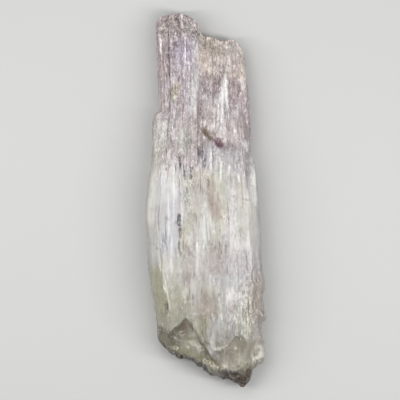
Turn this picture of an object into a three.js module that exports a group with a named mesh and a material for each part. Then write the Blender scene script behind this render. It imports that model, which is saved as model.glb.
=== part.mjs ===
// A kunzite crystal, the pink to pale green gem form of spodumene, as one solid of flat faces.
//
// It is a flattened prism, striated along its length, that grew as parallel blocks. The upper block is
// narrower and ends in an etched, stepped tip; the lower block is the wider one, and its base is a sloping,
// shelly break. A diagonal crevice parts the two on the right of the broad front face. The crystal lies on
// the cleavage plane of its back.
//
// Units are millimetres. X runs across the broad face, Y along the crystal towards its tip, and Z out of
// the broad front face, with the cleavage plane of the back at Z = 0.
import * as THREE from "three";

// ---- Driving dimensions -------------------------------------------------------------------------

// Thickness of the prism along its length, as [y, thickness].
const THICKNESS = [
  [-105, 30], [-66, 33.5], [-40, 36], [-5, 36], [24, 34.5], [29, 33.5], [34, 31], [50, 29], [74, 27],
  [105, 24],
];

// The two long edges of the outline, seen from the front, from the base to the tip, as [y, x].
const LEFT_EDGE = [
  [-76, -27], [-67.1, -26.9], [-62.6, -27.6], [-54.2, -28.7], [-49.1, -30.2], [-42.4, -30.9],
  [-33.5, -32.1], [-15.5, -33.2], [-9.9, -33.9], [-2.7, -33.7], [6.9, -32.6], [12.5, -32.2],
  [15.3, -31.3], [22.5, -30.4], [28.1, -30], [40.5, -30], [45.5, -29.7], [48.9, -28.9], [49.9, -26.1],
  [56.1, -25.9], [71.8, -26.5], [95.3, -27.5],
];
const RIGHT_EDGE = [
  [-88.3, 33.7], [-81.1, 33.5], [-74.9, 32.1], [-68.2, 31.8], [-65.9, 32.5], [-64.3, 34.8], [-62.6, 34],
  [-58.7, 33], [-50.3, 32.5], [-48, 33.5], [-42.4, 33.6], [-37.9, 32.6], [-32.3, 31.9], [-17.8, 31.4],
  [-4.3, 30.7], [5.7, 29.9], [18.6, 29], [22.5, 27.9], [25.3, 26.3], [28.1, 25.2], [40.5, 25.7],
  [51.7, 25.1], [60.6, 24.2], [69.6, 23], [80.2, 22.1],
];

// The same two edges without their jumps. The laths between the edges run straight on past a jump, so only
// a share of the width beside each edge follows it.
const LEFT_RUN = [[-76, -27], [-49, -30.2], [-12, -33.2], [20, -30.6], [56, -26.6], [95.3, -27.5]];
const RIGHT_RUN = [[-88.3, 33.7], [-48, 33], [5.7, 29.9], [45, 25.8], [69.6, 23], [80.2, 22.1]];
const EDGE_SHARE = 0.14;

// The two ends of the outline, from left to right, as [x, y].
const TIP_RIM = [
  [-27.5, 95.3], [-27.3, 99.3], [-26.4, 102], [-24.6, 103.7], [-22, 104.2], [-16.9, 104.7], [-14.1, 105.1],
  [-11.3, 104.3], [-8.5, 103.2], [-5.5, 101.2], [-4.1, 97.6], [-2.7, 94.2], [-1, 92.3], [2.7, 91.7],
  [6.6, 90.7], [8.8, 89.4], [11.6, 89.6], [13.3, 90.5], [15, 90.9], [17.2, 90], [19.5, 87.6],
  [21.1, 84.1], [22.1, 80.2],
];
const BASE_RIM = [
  [-27, -76], [-26.5, -78.8], [-25.3, -81.1], [-21.4, -85], [-16.9, -88.3], [-14.1, -89.5],
  [-10.2, -89.2], [-6.9, -91.7], [-0.1, -96.2], [3.2, -98.4], [11.1, -100.7], [15, -102.1],
  [18.3, -103.7], [20.9, -105.35], [22.8, -104.6], [25.3, -101.8], [26.2, -97.3], [28.4, -93.9],
  [31.8, -92.5], [33.2, -90.6], [33.7, -88.3],
];

// The cross-section's corners, anticlockwise seen from the base: share of the half width, share of the
// thickness, and how many growth ribs lie between the corner and the next one.
const SECTION = [
  [-0.72, 0, 5], [0.74, 0, 2], [0.94, 0.16, 2], [1, 0.42, 2], [0.95, 0.7, 2], [0.8, 0.9, 4],
  [0.5, 0.98, 10], [-0.12, 1, 10], [-0.78, 0.92, 3], [-0.95, 0.74, 2], [-1, 0.44, 2], [-0.93, 0.17, 2],
];

// A rib is a flat strip that runs along the crystal. Its edges wander by a share of its width, and a narrow
// riser parts it from the next one. Ribs lie at a few levels, each stretch leans a little, and a rib
// changes level at ledges, which each rib has at its own height and slant.
const RIB = { deep: 1.7, levels: 4, lean: 0.4, riser: 0.12, uneven: 0.25, wander: 0.3, wanderLength: 45 };
const LEDGES = [-52, -38, -24, -10, 4, 16, 58];
const LEDGE = { tall: 1.2, scatter: 5, slant: 1.2 };

const CAP_RINGS = [0.93, 0.78, 0.52, 0.15];
const END_PITS = 2;

// ---- Arithmetic ---------------------------------------------------------------------------------

const clamp01 = (t) => Math.min(1, Math.max(0, t));
const mix = (a, b, t) => a + (b - a) * t;

// 0 before a, 1 after b, and a smooth rise between them.
function rise(a, b, t) {
  const s = clamp01((t - a) / (b - a));
  return s * s * (3 - 2 * s);
}

// The value at t on a line through [t, value] points, held level beyond its two ends.
function along(points, t) {
  if (t <= points[0][0]) return points[0][1];
  for (let i = 1; i < points.length; i += 1) {
    const [t0, v0] = points[i - 1];
    const [t1, v1] = points[i];
    if (t <= t1) return mix(v0, v1, (t - t0) / (t1 - t0));
  }
  return points[points.length - 1][1];
}

// A repeatable number from 0 to 1 for each point of a whole-number lattice.
function lattice(i, j, k) {
  const v = Math.sin(i * 127.1 + j * 311.7 + k * 74.7) * 43758.5453;
  return v - Math.floor(v);
}

// Smooth noise from 0 to 1 with one hump for each unit of x, y and z.
function noise(x, y, z) {
  const [i, j, k] = [x, y, z].map(Math.floor);
  const [u, v, w] = [x - i, y - j, z - k].map((t) => t * t * (3 - 2 * t));
  const edge = (dj, dk) => mix(lattice(i, j + dj, k + dk), lattice(i + 1, j + dj, k + dk), u);
  return mix(mix(edge(0, 0), edge(1, 0), v), mix(edge(0, 1), edge(1, 1), v), w);
}

// ---- Relief -------------------------------------------------------------------------------------

// The middle of one ledge on one half of a rib, the left one as -1 or the right one as 1.
function ledgeMiddle(ledge, rib, half) {
  const scatter = LEDGE.scatter * (2 * lattice(rib, ledge, 5) - 1);
  const slant = LEDGE.slant * (2 * lattice(rib, ledge, 23) - 1);
  return LEDGES[ledge] + scatter + slant * half;
}

// How far a rib lies inside the section between two ledges: one of a few levels.
function ribLevel(rib, stretch) {
  const broad = noise(rib * 0.31 + 4.2, stretch * 0.4 + 1.7, 2.5);
  const own = lattice(rib, stretch, 11);
  const step = Math.min(RIB.levels - 1, Math.floor((0.55 * broad + 0.45 * own) * RIB.levels));
  return (RIB.deep * step) / (RIB.levels - 1);
}

function ribDepth(rib, half, y) {
  const ends = [-Infinity, ...LEDGES.map((_, ledge) => ledgeMiddle(ledge, rib, half)), Infinity];
  const stretchDepth = (stretch) => {
    const [low, high] = [ends[stretch], ends[stretch + 1]];
    const inside = Number.isFinite(high - low) ? clamp01((y - low) / (high - low)) : 0.5;
    const lean = RIB.lean * (2 * lattice(rib, stretch, 31) - 1);
    return ribLevel(rib, stretch) + lean * (2 * inside - 1);
  };
  return LEDGES.reduce((depth, _, ledge) => {
    const passed = rise(-LEDGE.tall / 2, LEDGE.tall / 2, y - ends[ledge + 1]);
    return mix(depth, stretchDepth(ledge + 1), passed);
  }, stretchDepth(0));
}

// The diagonal crevice between the two blocks, as [x, y], and its depth from left to right, as [x, depth].
// Measured from the line, its lower wall and its upper slope start and end at these heights.
const CREVICE_LINE = [
  [-2.9, 41], [-0.7, 38.8], [2.1, 36], [5.5, 33.2], [8.8, 30.4], [16.7, 28.7], [25.6, 27.6],
];
const CREVICE_DEPTH = [[-5, 0], [-2, 2.8], [3, 5.5], [8, 5], [12, 2.4], [27, 1.2]];
const CREVICE = { wallFoot: -0.2, wallTop: -1.6, slopeFoot: 0.8, slopeTop: 5 };
function creviceDepth(x, y) {
  const above = y - along(CREVICE_LINE, x);
  const wall = rise(CREVICE.wallTop, CREVICE.wallFoot, above);
  return along(CREVICE_DEPTH, x) * wall * (1 - rise(CREVICE.slopeFoot, CREVICE.slopeTop, above));
}

// Low slabs on the front of the upper block: the left column stands proud of the right one, the right one
// has an etched crust over its top third, and a slab on the left edge starts at its own ledge.
const COLUMN_SEAM_X = -3;
const CRUST_EDGE = [
  [-2.9, 70.7], [0.4, 69.6], [3.2, 67.3], [7.1, 68.5], [11.1, 70.7], [15, 67.9], [23.4, 66.8],
];
const LEFT_SLAB = { right: -20.8, top: 45.2, bottom: 12 };
const SLAB_STEP = { top: 0.4, foot: -1 };
function slabDepth(x, y) {
  const upper = rise(43, 50, y);
  const right = rise(COLUMN_SEAM_X - 0.6, COLUMN_SEAM_X + 0.9, x);
  const beside = 1.1 * right * upper;
  const belowCrust = along(CRUST_EDGE, x) - y;
  const crustStep = rise(-SLAB_STEP.top, -SLAB_STEP.foot, belowCrust) * (1 - rise(14, 30, belowCrust));
  const crust = 1.5 * right * crustStep;
  const outsideSlab = Math.max(rise(-0.5, 0.7, x - LEFT_SLAB.right), rise(-0.5, 0.5, y - LEFT_SLAB.top));
  const slab = 1.1 * outsideSlab * rise(LEFT_SLAB.bottom, LEFT_SLAB.bottom + 20, y);
  return beside + crust + slab;
}

// Rounded lumps that etching left near the tip, and a lip above which the front lies lower. The lip crosses
// the tip at a share of the way up to the rim.
const TIP_START = 76;
const LIP = { share: 0.58, deep: 1, tall: 0.8 };
function tipDepth(x, y, tipY) {
  const near = rise(60, 74, y);
  const lumps = noise(x / 5.2 + 3.1, y / 5.8 + 7.7, 4.5);
  const aboveLip = y - mix(TIP_START, tipY, LIP.share);
  return 1.5 * near * (1 - lumps) + LIP.deep * rise(-LIP.tall / 2, LIP.tall / 2, aboveLip);
}

// Two shelly steps of the break near the base. Below each line, given as [x, y], the surface drops by its
// depth and then climbs back over its run.
const SCAR_LINE = [
  [-27.6, -65.9], [-25.3, -72.7], [-23.1, -74.9], [-19.2, -74.9], [-15.8, -69.9], [-10.8, -65.9],
  [-6.9, -70.4], [-2.9, -77.1], [2.1, -85.5], [6, -90.6], [14, -91.5], [21, -92.5], [28, -88],
  [34, -84],
];
const SCAR_DEPTH = [[-27, 1.5], [-19, 3.4], [-11, 6], [-3, 4.6], [4, 2.4], [8, 0]];
const LOBE_LINE = [
  [-28, -63.5], [-8, -62.5], [-1.8, -68.2], [0.4, -76], [2.1, -80.5], [4.9, -83.3], [8.3, -83.9],
  [11.6, -82.2], [15, -78.8], [19.5, -76], [25.1, -77.1], [34, -77.4],
];
const LOBE_DEPTH = [[-3, 0], [0, 2.8], [8, 3.8], [15, 2.6], [24, 1.6], [33, 1.2]];
const BREAK_STEP = { top: 0.3, foot: -1.1, run: 20, climb: 0.75 };
function stepDepth(line, depth, x, y) {
  const below = along(line, x) - y;
  const drop = rise(-BREAK_STEP.top, -BREAK_STEP.foot, below);
  return along(depth, x) * drop * (1 - BREAK_STEP.climb * rise(3, BREAK_STEP.run, below));
}

// Depth of everything that is cut into the front face.
function frontDepth(x, y, tipY) {
  return (
    creviceDepth(x, y) +
    slabDepth(x, y) +
    tipDepth(x, y, tipY) +
    stepDepth(SCAR_LINE, SCAR_DEPTH, x, y) +
    stepDepth(LOBE_LINE, LOBE_DEPTH, x, y)
  );
}

// The back away from the middle is stepped up off the cleavage plane, more towards the two ends.
const BACK_LIFT = [[-105, 2.4], [-84, 1.2], [-76, 0], [40, 0], [44, 1.4], [74, 1.8], [105, 2.8]];

// Ribs of the back that touch the cleavage plane all along its middle stretch.
const RESTING = { ribs: [0, 2, 4], low: -70, high: 40 };
function backShare(rib, y) {
  return RESTING.ribs.includes(rib) && y > RESTING.low && y < RESTING.high ? 0 : 0.6;
}

// On the two narrow sides the ribs are shallower, and stand proud of the outline as much as they lie behind
// it.
const SIDE = { share: 0.5, proud: 0.4 };

// ---- Rows of faces ------------------------------------------------------------------------------

// Width of the steep, rough part of the break along the base, from left to right, as [x, width].
const ROUGH_BREAK = [[-27, 2], [-10, 2.5], [8, 5], [20, 9.5], [27, 5], [33.7, 2]];

// Rows of faces cross the crystal along lines, so that each step has a sharp edge. A line gives its height
// at a place, which holds x, the rib, its half, and the heights of the two rims.
const level = (y) => () => y;
const beside = (points, offset) => ({ x }) => along(points, x) + offset;
const between = (low, high, share) => (place) => mix(low(place), high(place), share);
const baseRim = ({ baseY }) => baseY;
const roughEdge = ({ x, baseY }) => baseY + along(ROUGH_BREAK, x);
const tipRim = ({ tipY }) => tipY;
const lip = (offset) => ({ tipY }) => mix(TIP_START, tipY, LIP.share) + offset;

// From the top of the left slab down to the top of the crevice's slope.
const shoulder = (offset) => ({ x }) => {
  const slopeTop = along(CREVICE_LINE, x) + CREVICE.slopeTop;
  return mix(LEFT_SLAB.top, slopeTop, rise(LEFT_SLAB.right, COLUMN_SEAM_X, x)) + offset;
};

// The lines along the two edges of each ledge that lies between two heights.
function ledgeLines(from, to) {
  return LEDGES.flatMap((height, ledge) => {
    if (height < from || height > to) return [];
    return [-LEDGE.tall / 2, LEDGE.tall / 2].map((offset) => [
      ({ rib, half }) => ledgeMiddle(ledge, rib, half) + offset, 0,
    ]);
  });
}

// The lines from the base to the tip, each with how many more rows lie between it and the next one.
const ROW_LINES = [
  [baseRim, 1], [roughEdge, 1],
  [beside(SCAR_LINE, BREAK_STEP.foot), 0], [beside(SCAR_LINE, BREAK_STEP.top), 1],
  [beside(LOBE_LINE, BREAK_STEP.foot), 0], [beside(LOBE_LINE, BREAK_STEP.top), 0], [level(-60), 0],
  ...ledgeLines(-60, 24),
  [level(24.3), 0],
  [beside(CREVICE_LINE, CREVICE.wallTop), 0], [beside(CREVICE_LINE, CREVICE.wallFoot), 0],
  [beside(CREVICE_LINE, CREVICE.slopeFoot), 1], [shoulder(-0.5), 0], [shoulder(0.5), 0],
  [level(48.6), 0], [level(50.2), 0],
  ...ledgeLines(50, 66),
  [beside(CRUST_EDGE, SLAB_STEP.foot), 0], [beside(CRUST_EDGE, SLAB_STEP.top), 0], [level(TIP_START), 3],
  [lip(-LIP.tall / 2), 0], [lip(LIP.tall / 2), 3], [tipRim, 0],
];

// Every row's line, with the rows between lines filled in.
function rowList() {
  return ROW_LINES.flatMap(([line, extra], i) => {
    const filled = Array.from({ length: extra }, (_, k) =>
      between(line, ROW_LINES[i + 1][0], (k + 1) / (extra + 1)),
    );
    return [line, ...filled];
  });
}

// ---- Surface ------------------------------------------------------------------------------------

const BASE_SLOPE = { length: 36, rim: 0.5, rough: 0.78 };
const TIP_SLOPE = { length: 11, rim: 0.74, back: 1.2 };

// The share of the thickness that is left at a point on the front, from its distances to the two rims.
function frontShare(x, toBase, toTip) {
  const rough = along(ROUGH_BREAK, x);
  const steep = mix(BASE_SLOPE.rim, BASE_SLOPE.rough, clamp01(toBase / rough));
  const rest = 1 - clamp01((toBase - rough) / (BASE_SLOPE.length - rough));
  const base = toBase < rough ? steep : mix(1, BASE_SLOPE.rough, rest * rest);
  const tip = mix(TIP_SLOPE.rim, 1, rise(0, TIP_SLOPE.length, toTip));
  return base * tip;
}

// Where the ribs of one side of the section meet at a height, as shares of the side.
function ribEdges(side, y) {
  const ribs = SECTION[side][2];
  return Array.from({ length: ribs + 1 }, (_, edge) => {
    if (edge === 0 || edge === ribs) return edge / ribs;
    const uneven = RIB.uneven * (2 * lattice(edge, side, 3) - 1);
    const wander = RIB.wander * (2 * noise(edge * 3.7 + side * 11.1, y / RIB.wanderLength, 0.5) - 1);
    return (edge + uneven + wander) / ribs;
  });
}

// The section at a height as points, two to a rib, with their shares of the half width and the thickness.
function sectionPoints(y) {
  const points = [];
  let rib = 0;
  SECTION.forEach(([ax, az, ribs], side) => {
    const [bx, bz] = SECTION[(side + 1) % SECTION.length];
    const edges = ribEdges(side, y);
    for (let r = 0; r < ribs; r += 1) {
      for (const half of [-1, 1]) {
        const t = mix(edges[r], edges[r + 1], 0.5 + half * (0.5 - RIB.riser / 2));
        points.push({ rib, half, across: mix(ax, bx, t), up: mix(az, bz, t) });
      }
      rib += 1;
    }
  });
  return points;
}

// The x at a share of the way from the left edge to the right edge of the outline.
function acrossAt(y, share) {
  const [leftRun, rightRun] = [along(LEFT_RUN, y), along(RIGHT_RUN, y)];
  const left = (along(LEFT_EDGE, y) - leftRun) * (1 - rise(0, EDGE_SHARE, share));
  const right = (along(RIGHT_EDGE, y) - rightRun) * rise(1 - EDGE_SHARE, 1, share);
  return mix(leftRun, rightRun, share) + left + right;
}

// One row of the surface: the section along its line, less the depth of its ribs and of the front's relief.
function surfaceRow(line) {
  const middle = line({ x: 0, rib: 0, half: 0, baseY: along(BASE_RIM, 0), tipY: along(TIP_RIM, 0) });
  const plain = sectionPoints(middle).map(({ rib, half, across, up }) => {
    const share = (across + 1) / 2;
    const baseY = along(BASE_RIM, acrossAt(-Infinity, share));
    const tipY = along(TIP_RIM, acrossAt(Infinity, share)) - TIP_SLOPE.back * (1 - rise(0, 0.4, up));
    const y = line({ x: acrossAt(middle, share), rib, half, baseY, tipY });
    const x = acrossAt(y, share);
    const front = along(THICKNESS, y) * frontShare(x, y - baseY, tipY - y);
    const back = along(BACK_LIFT, y) * (1 - up);
    return { rib, half, up, x, y, z: mix(back, front, up), tipY };
  });
  return plain.map(({ rib, half, up, x, y, z, tipY }, c) => {
    const before = plain[(c + plain.length - 1) % plain.length];
    const after = plain[(c + 1) % plain.length];
    const out = new THREE.Vector2(after.z - before.z, before.x - after.x).normalize();
    const inset = ribDepth(rib, half, y);
    const sideways = SIDE.share * inset - SIDE.proud;
    const depth = up === 0 ? inset * backShare(rib, y) : mix(inset, sideways, Math.abs(out.x));
    const cut = rise(0.6, 0.9, up) * frontDepth(x, y, tipY);
    return new THREE.Vector3(x - out.x * depth, y, Math.max(0, z - out.y * depth - cut));
  });
}

// The rings that close one end over its rim, from the rim inwards, and the point in the middle. The rings
// shrink faster through the thickness than across. The end is a broken face that keeps to the line of its
// outline, with shallow pits that grow deeper away from the rim.
function capRings(rim, line, inward) {
  const middle = new THREE.Vector3();
  rim.forEach((p) => middle.add(p));
  middle.divideScalar(rim.length);
  const pitted = (x, z, ring) => {
    const pits = noise(x / 5.5 + 8.1, z / 4 + 1.7, 9.2);
    return along(line, x) + inward * END_PITS * (1 - ring) * pits;
  };
  const rings = CAP_RINGS.map((ring) =>
    rim.map((p) => {
      const [x, z] = [mix(middle.x, p.x, Math.sqrt(ring)), mix(middle.z, p.z, ring)];
      const offLine = (p.y - along(line, p.x)) * ring ** 2;
      return new THREE.Vector3(x, pitted(x, z, ring) + offLine, z);
    }),
  );
  return { rings, middle: new THREE.Vector3(middle.x, pitted(middle.x, middle.z, 0), middle.z) };
}

// Joins rings of equal length into one closed geometry, with a fan of triangles over each end.
function closedGeometry(rings, start, end) {
  const count = rings[0].length;
  const points = [start, ...rings.flat(), end];
  const last = points.length - 1;
  const at = (ring, c) => 1 + ring * count + (c % count);
  const faces = [];
  for (let c = 0; c < count; c += 1) {
    faces.push(0, at(0, c), at(0, c + 1));
    faces.push(last, at(rings.length - 1, c + 1), at(rings.length - 1, c));
    for (let r = 1; r < rings.length; r += 1) {
      faces.push(at(r - 1, c), at(r, c), at(r, c + 1));
      faces.push(at(r - 1, c), at(r, c + 1), at(r - 1, c + 1));
    }
  }
  const geometry = new THREE.BufferGeometry().setFromPoints(points);
  geometry.setIndex(faces);
  geometry.computeVertexNormals();
  return geometry;
}

function crystalGeometry() {
  const body = rowList().map(surfaceRow);
  const base = capRings(body[0], BASE_RIM, 1);
  const tip = capRings(body[body.length - 1], TIP_RIM, -1);
  return closedGeometry([...base.rings.reverse(), ...body, ...tip.rings], base.middle, tip.middle);
}

// ---- The crystal --------------------------------------------------------------------------------

const kunzite = new THREE.MeshStandardMaterial({ color: 0xd9d2cf, roughness: 0.3, metalness: 0 });
const crystal = new THREE.Mesh(crystalGeometry(), kunzite);
crystal.name = "kunzite_crystal";

const part = new THREE.Group();
part.add(crystal);
export default part;
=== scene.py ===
"""A kunzite crystal, the pink to pale green gem form of spodumene, lying on its cleavage plane.

The crystal is a flattened prism that grew as parallel blocks and cleaves into laths along its length. Its
skin is one closed surface, worked out on a grid of columns round the crystal and rows from its base to its
tip, with a finer relief than the solid that it stands for. X runs across the broad front face, Y along the
crystal towards its tip, and Z out of the front face. The forms are in millimetres, and the mesh in metres.
"""

import logging
import math
from collections.abc import Iterator
from dataclasses import dataclass
from enum import Enum
from typing import Any

import bpy
import numpy as np
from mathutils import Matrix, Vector


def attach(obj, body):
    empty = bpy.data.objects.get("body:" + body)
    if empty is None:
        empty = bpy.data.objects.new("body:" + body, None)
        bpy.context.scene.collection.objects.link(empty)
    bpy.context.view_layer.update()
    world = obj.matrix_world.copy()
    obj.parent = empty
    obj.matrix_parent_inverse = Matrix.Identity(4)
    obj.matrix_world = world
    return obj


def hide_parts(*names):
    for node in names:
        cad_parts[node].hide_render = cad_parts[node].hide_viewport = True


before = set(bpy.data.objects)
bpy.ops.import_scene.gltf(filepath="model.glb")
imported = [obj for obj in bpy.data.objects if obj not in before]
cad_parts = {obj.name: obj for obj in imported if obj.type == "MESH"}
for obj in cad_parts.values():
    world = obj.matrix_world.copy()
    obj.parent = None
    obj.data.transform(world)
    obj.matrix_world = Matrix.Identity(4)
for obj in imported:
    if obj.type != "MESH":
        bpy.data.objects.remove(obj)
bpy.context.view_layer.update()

Array = np.ndarray
Line = tuple[tuple[float, float], ...]
MM = 0.001
LENGTH = 210.0
BASE_FACE = 12.0  # half the thickness of the base's end face
UPPER_BLOCK = (2.0, 34.0)  # heights over which the calm lower block gives way to the lively upper one
TIP_END = (84.0, 92.0)  # heights over which the etching at the tip grows strong
FACING = (0.35, 0.75)  # shares of the thickness over which the back's colours give way to the front's
FRONT = (0.6, 0.9)  # shares of the thickness over which the front's own forms begin
log = logging.getLogger("kunzite")


# ---- Arithmetic ---------------------------------------------------------------------------------


def mix(low: Any, high: Any, share: Any) -> Any:
    """Goes straight from low, where share is 0, to high, where share is 1."""
    return low + (high - low) * share


def rise(low: Any, high: Any, value: Any) -> Any:
    """A smooth step from 0 at low to 1 at high: 3s² - 2s³, where s is the share of the way."""
    share = np.clip((value - low) / (high - low), 0.0, 1.0)
    return share * share * (3.0 - 2.0 * share)


def fall(low: Any, high: Any, value: Any) -> Any:
    """The smooth step the other way: 1 at low, 0 at high."""
    return 1.0 - rise(low, high, value)


def between(start: Any, full: Any, fade: Any, end: Any, value: Any) -> Any:
    """1 from full to fade, falling off smoothly to 0 at start and at end."""
    return rise(start, full, value) * fall(fade, end, value)


def bell(offset: Any, spread: float) -> Any:
    """A bell curve: 1 at an offset of 0, and 1/e where the offset is as large as the spread."""
    return np.exp(-((offset / spread) ** 2))


def along(line: Line, place: Any) -> Any:
    """The value at a place on a line of (place, value) points, held level beyond its two ends."""
    places, values = np.array(line).T
    return np.interp(place, places, values)


def lattice(i: Any, j: Any, k: Any) -> Any:
    """A repeatable number from 0 to 1 for each whole-number point: the fraction of a large sine."""
    value = np.sin(i * 127.1 + j * 311.7 + k * 74.7) * 43758.5453
    return value - np.floor(value)


def noise(x: Any, y: Any, z: Any) -> Any:
    """Smooth noise from 0 to 1, one hump to a unit: the lattice's eight corners, mixed by 3t² - 2t³.

    Args:
        x: Place along the first axis, in humps.
        y: Place along the second axis.
        z: Place along the third axis, or a number that tells two noises apart.

    Returns:
        The noise at each place.
    """
    cells = [np.floor(t) for t in (x, y, z)]
    u, v, w = (t - cell for t, cell in zip((x, y, z), cells))
    u, v, w = (t * t * (3.0 - 2.0 * t) for t in (u, v, w))
    i, j, k = cells
    total = 0.0
    for dj, share_j in ((0, 1.0 - v), (1, v)):
        for dk, share_k in ((0, 1.0 - w), (1, w)):
            edge = mix(lattice(i, j + dj, k + dk), lattice(i + 1, j + dj, k + dk), u)
            total = total + edge * share_j * share_k
    return total


def clouds(x: Any, y: Any, z: Any, wide: float, tall: float, seed: float) -> Any:
    """Noise of two sizes: humps of a width and length in mm, and smaller ones on them.

    Args:
        x: Place across.
        y: Place along.
        z: Height above the back.
        wide: Width and thickness of the large humps.
        tall: Their length.
        seed: A number that tells two fields apart.

    Returns:
        The noise at each place, from 0 to 1, mostly between 0.3 and 0.7.
    """
    large = noise(x / wide, y / tall, z / wide + seed)
    small = noise(3.1 * x / wide, 3.1 * y / tall, 3.1 * z / wide + seed + 40.0)
    return 0.65 * large + 0.35 * small


def linear(hex_colour: str) -> tuple[float, float, float]:
    """Turns an sRGB hex colour such as #d8d6d1 into linear red, green and blue."""
    parts = (int(hex_colour[at : at + 2], 16) / 255.0 for at in (1, 3, 5))
    return tuple(p / 12.92 if p <= 0.04045 else ((p + 0.055) / 1.055) ** 2.4 for p in parts)


# ---- The crystal's form -------------------------------------------------------------------------


@dataclass(frozen=True)
class Outline:
    """The crystal's outline seen from the front: its long edges as (y, x), and its two ends as (x, y)."""

    left: Line = (
        (-76, -27), (-67.1, -26.9), (-62.6, -27.6), (-54.2, -28.7), (-49.1, -30.2), (-42.4, -30.9),
        (-33.5, -32.1), (-15.5, -33.2), (-9.9, -33.9), (-2.7, -33.7), (6.9, -32.6), (12.5, -32.2),
        (15.3, -31.3), (22.5, -30.4), (28.1, -30), (40.5, -30), (45.5, -29.7), (48.9, -28.9),
        (49.9, -26.1), (56.1, -25.9), (71.8, -26.5), (95.3, -27.5),
    )
    right: Line = (
        (-88.3, 33.7), (-81.1, 33.5), (-74.9, 32.1), (-68.2, 31.8), (-65.9, 32.5), (-64.3, 34.8),
        (-62.6, 34), (-58.7, 33), (-50.3, 32.5), (-48, 33.5), (-42.4, 33.6), (-37.9, 32.6),
        (-32.3, 31.9), (-17.8, 31.4), (-4.3, 30.7), (5.7, 29.9), (18.6, 29), (22.5, 27.9),
        (25.3, 26.3), (28.1, 25.2), (40.5, 25.7), (51.7, 25.1), (60.6, 24.2), (69.6, 23), (80.2, 22.1),
    )
    tip: Line = (
        (-27.5, 95.3), (-27.3, 99.3), (-26.4, 102), (-24.6, 103.7), (-22, 104.2), (-16.9, 104.7),
        (-14.1, 105.1), (-11.3, 104.3), (-8.5, 103.2), (-5.5, 101.2), (-4.1, 97.6), (-2.7, 94.2), (-1, 92.3),
        (2.7, 91.7), (6.6, 90.7), (8.8, 89.4), (11.6, 89.6), (13.3, 90.5), (15, 90.9), (17.2, 90),
        (19.5, 87.6), (21.1, 84.1), (22.1, 80.2),
    )
    base: Line = (
        (-27, -76), (-26.5, -78.8), (-25.3, -81.1), (-21.4, -85), (-16.9, -88.3), (-14.1, -89.5),
        (-10.2, -89.2), (-6.9, -91.7), (-0.1, -96.2), (3.2, -98.4), (11.1, -100.7), (15, -102.1),
        (18.3, -103.7), (20.9, -105.35), (22.8, -104.6), (25.3, -101.8), (26.2, -97.3), (28.4, -93.9),
        (31.8, -92.5), (33.2, -90.6), (33.7, -88.3),
    )
    left_run: Line = ((-76, -27), (-49, -30.2), (-12, -33.2), (20, -30.6), (56, -26.6), (95.3, -27.5))
    right_run: Line = ((-88.3, 33.7), (-48, 33), (5.7, 29.9), (45, 25.8), (69.6, 23), (80.2, 22.1))
    edge_share: float = 0.14  # the part of the width, at each edge, that follows the edge's own jumps
    tip_back: float = 1.2  # how much further the tip reaches on the front than on the back
    tip_round: float = 0.15  # how far the tip's rim lies below the middle of its end face
    chip: float = 1.5  # how deep the base's rim is chipped
    tip_chip: float = 0.6

    def across(self, y: Any, share: Any) -> Any:
        """The x at a share of the way from the left edge to the right edge.

        Args:
            y: Place along.
            share: Share of the way across.

        Returns:
            The x. Between the edges the laths run straight on, past the jumps of the outline.
        """
        left_run, right_run = along(self.left_run, y), along(self.right_run, y)
        left = (along(self.left, y) - left_run) * fall(0.0, self.edge_share, share)
        right = (along(self.right, y) - right_run) * rise(1.0 - self.edge_share, 1.0, share)
        return mix(left_run, right_run, share) + left + right

    @staticmethod
    def chips(x: Any, up: Any) -> Any:
        """How far a rim is chipped back: notches of two sizes, which differ from back to front."""
        large = np.abs(noise(x / 3.3, up * 3.0, 4.4) - noise(x / 2.1 + 5.0, up * 4.0, 7.7))
        return 1.6 * large + 0.55 * noise(x / 0.9, up * 9.0, 2.1)

    def base_at(self, share: Any, up: Any) -> Any:
        """The height of the base's rim at a share of the way across and of the thickness."""
        x = self.across(-math.inf, share)
        return along(self.base, x) + self.chip * self.chips(x, up)

    def tip_at(self, share: Any, up: Any) -> Any:
        """The height of the tip's rim.

        Args:
            share: Share of the way across.
            up: Share of the thickness.

        Returns:
            The outline's height, less the rounding, what the back falls short by, and the chips.
        """
        x = self.across(math.inf, share)
        further = self.tip_round + self.tip_back * fall(0.0, 0.4, up)
        return along(self.tip, x) - further - self.tip_chip * self.chips(x, up)


@dataclass(frozen=True)
class Side:
    """One side of the cross-section: where it starts, as shares of the half width and the thickness."""

    across: float
    up: float
    ribs: int
    fine: int  # grid columns to a rib


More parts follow.
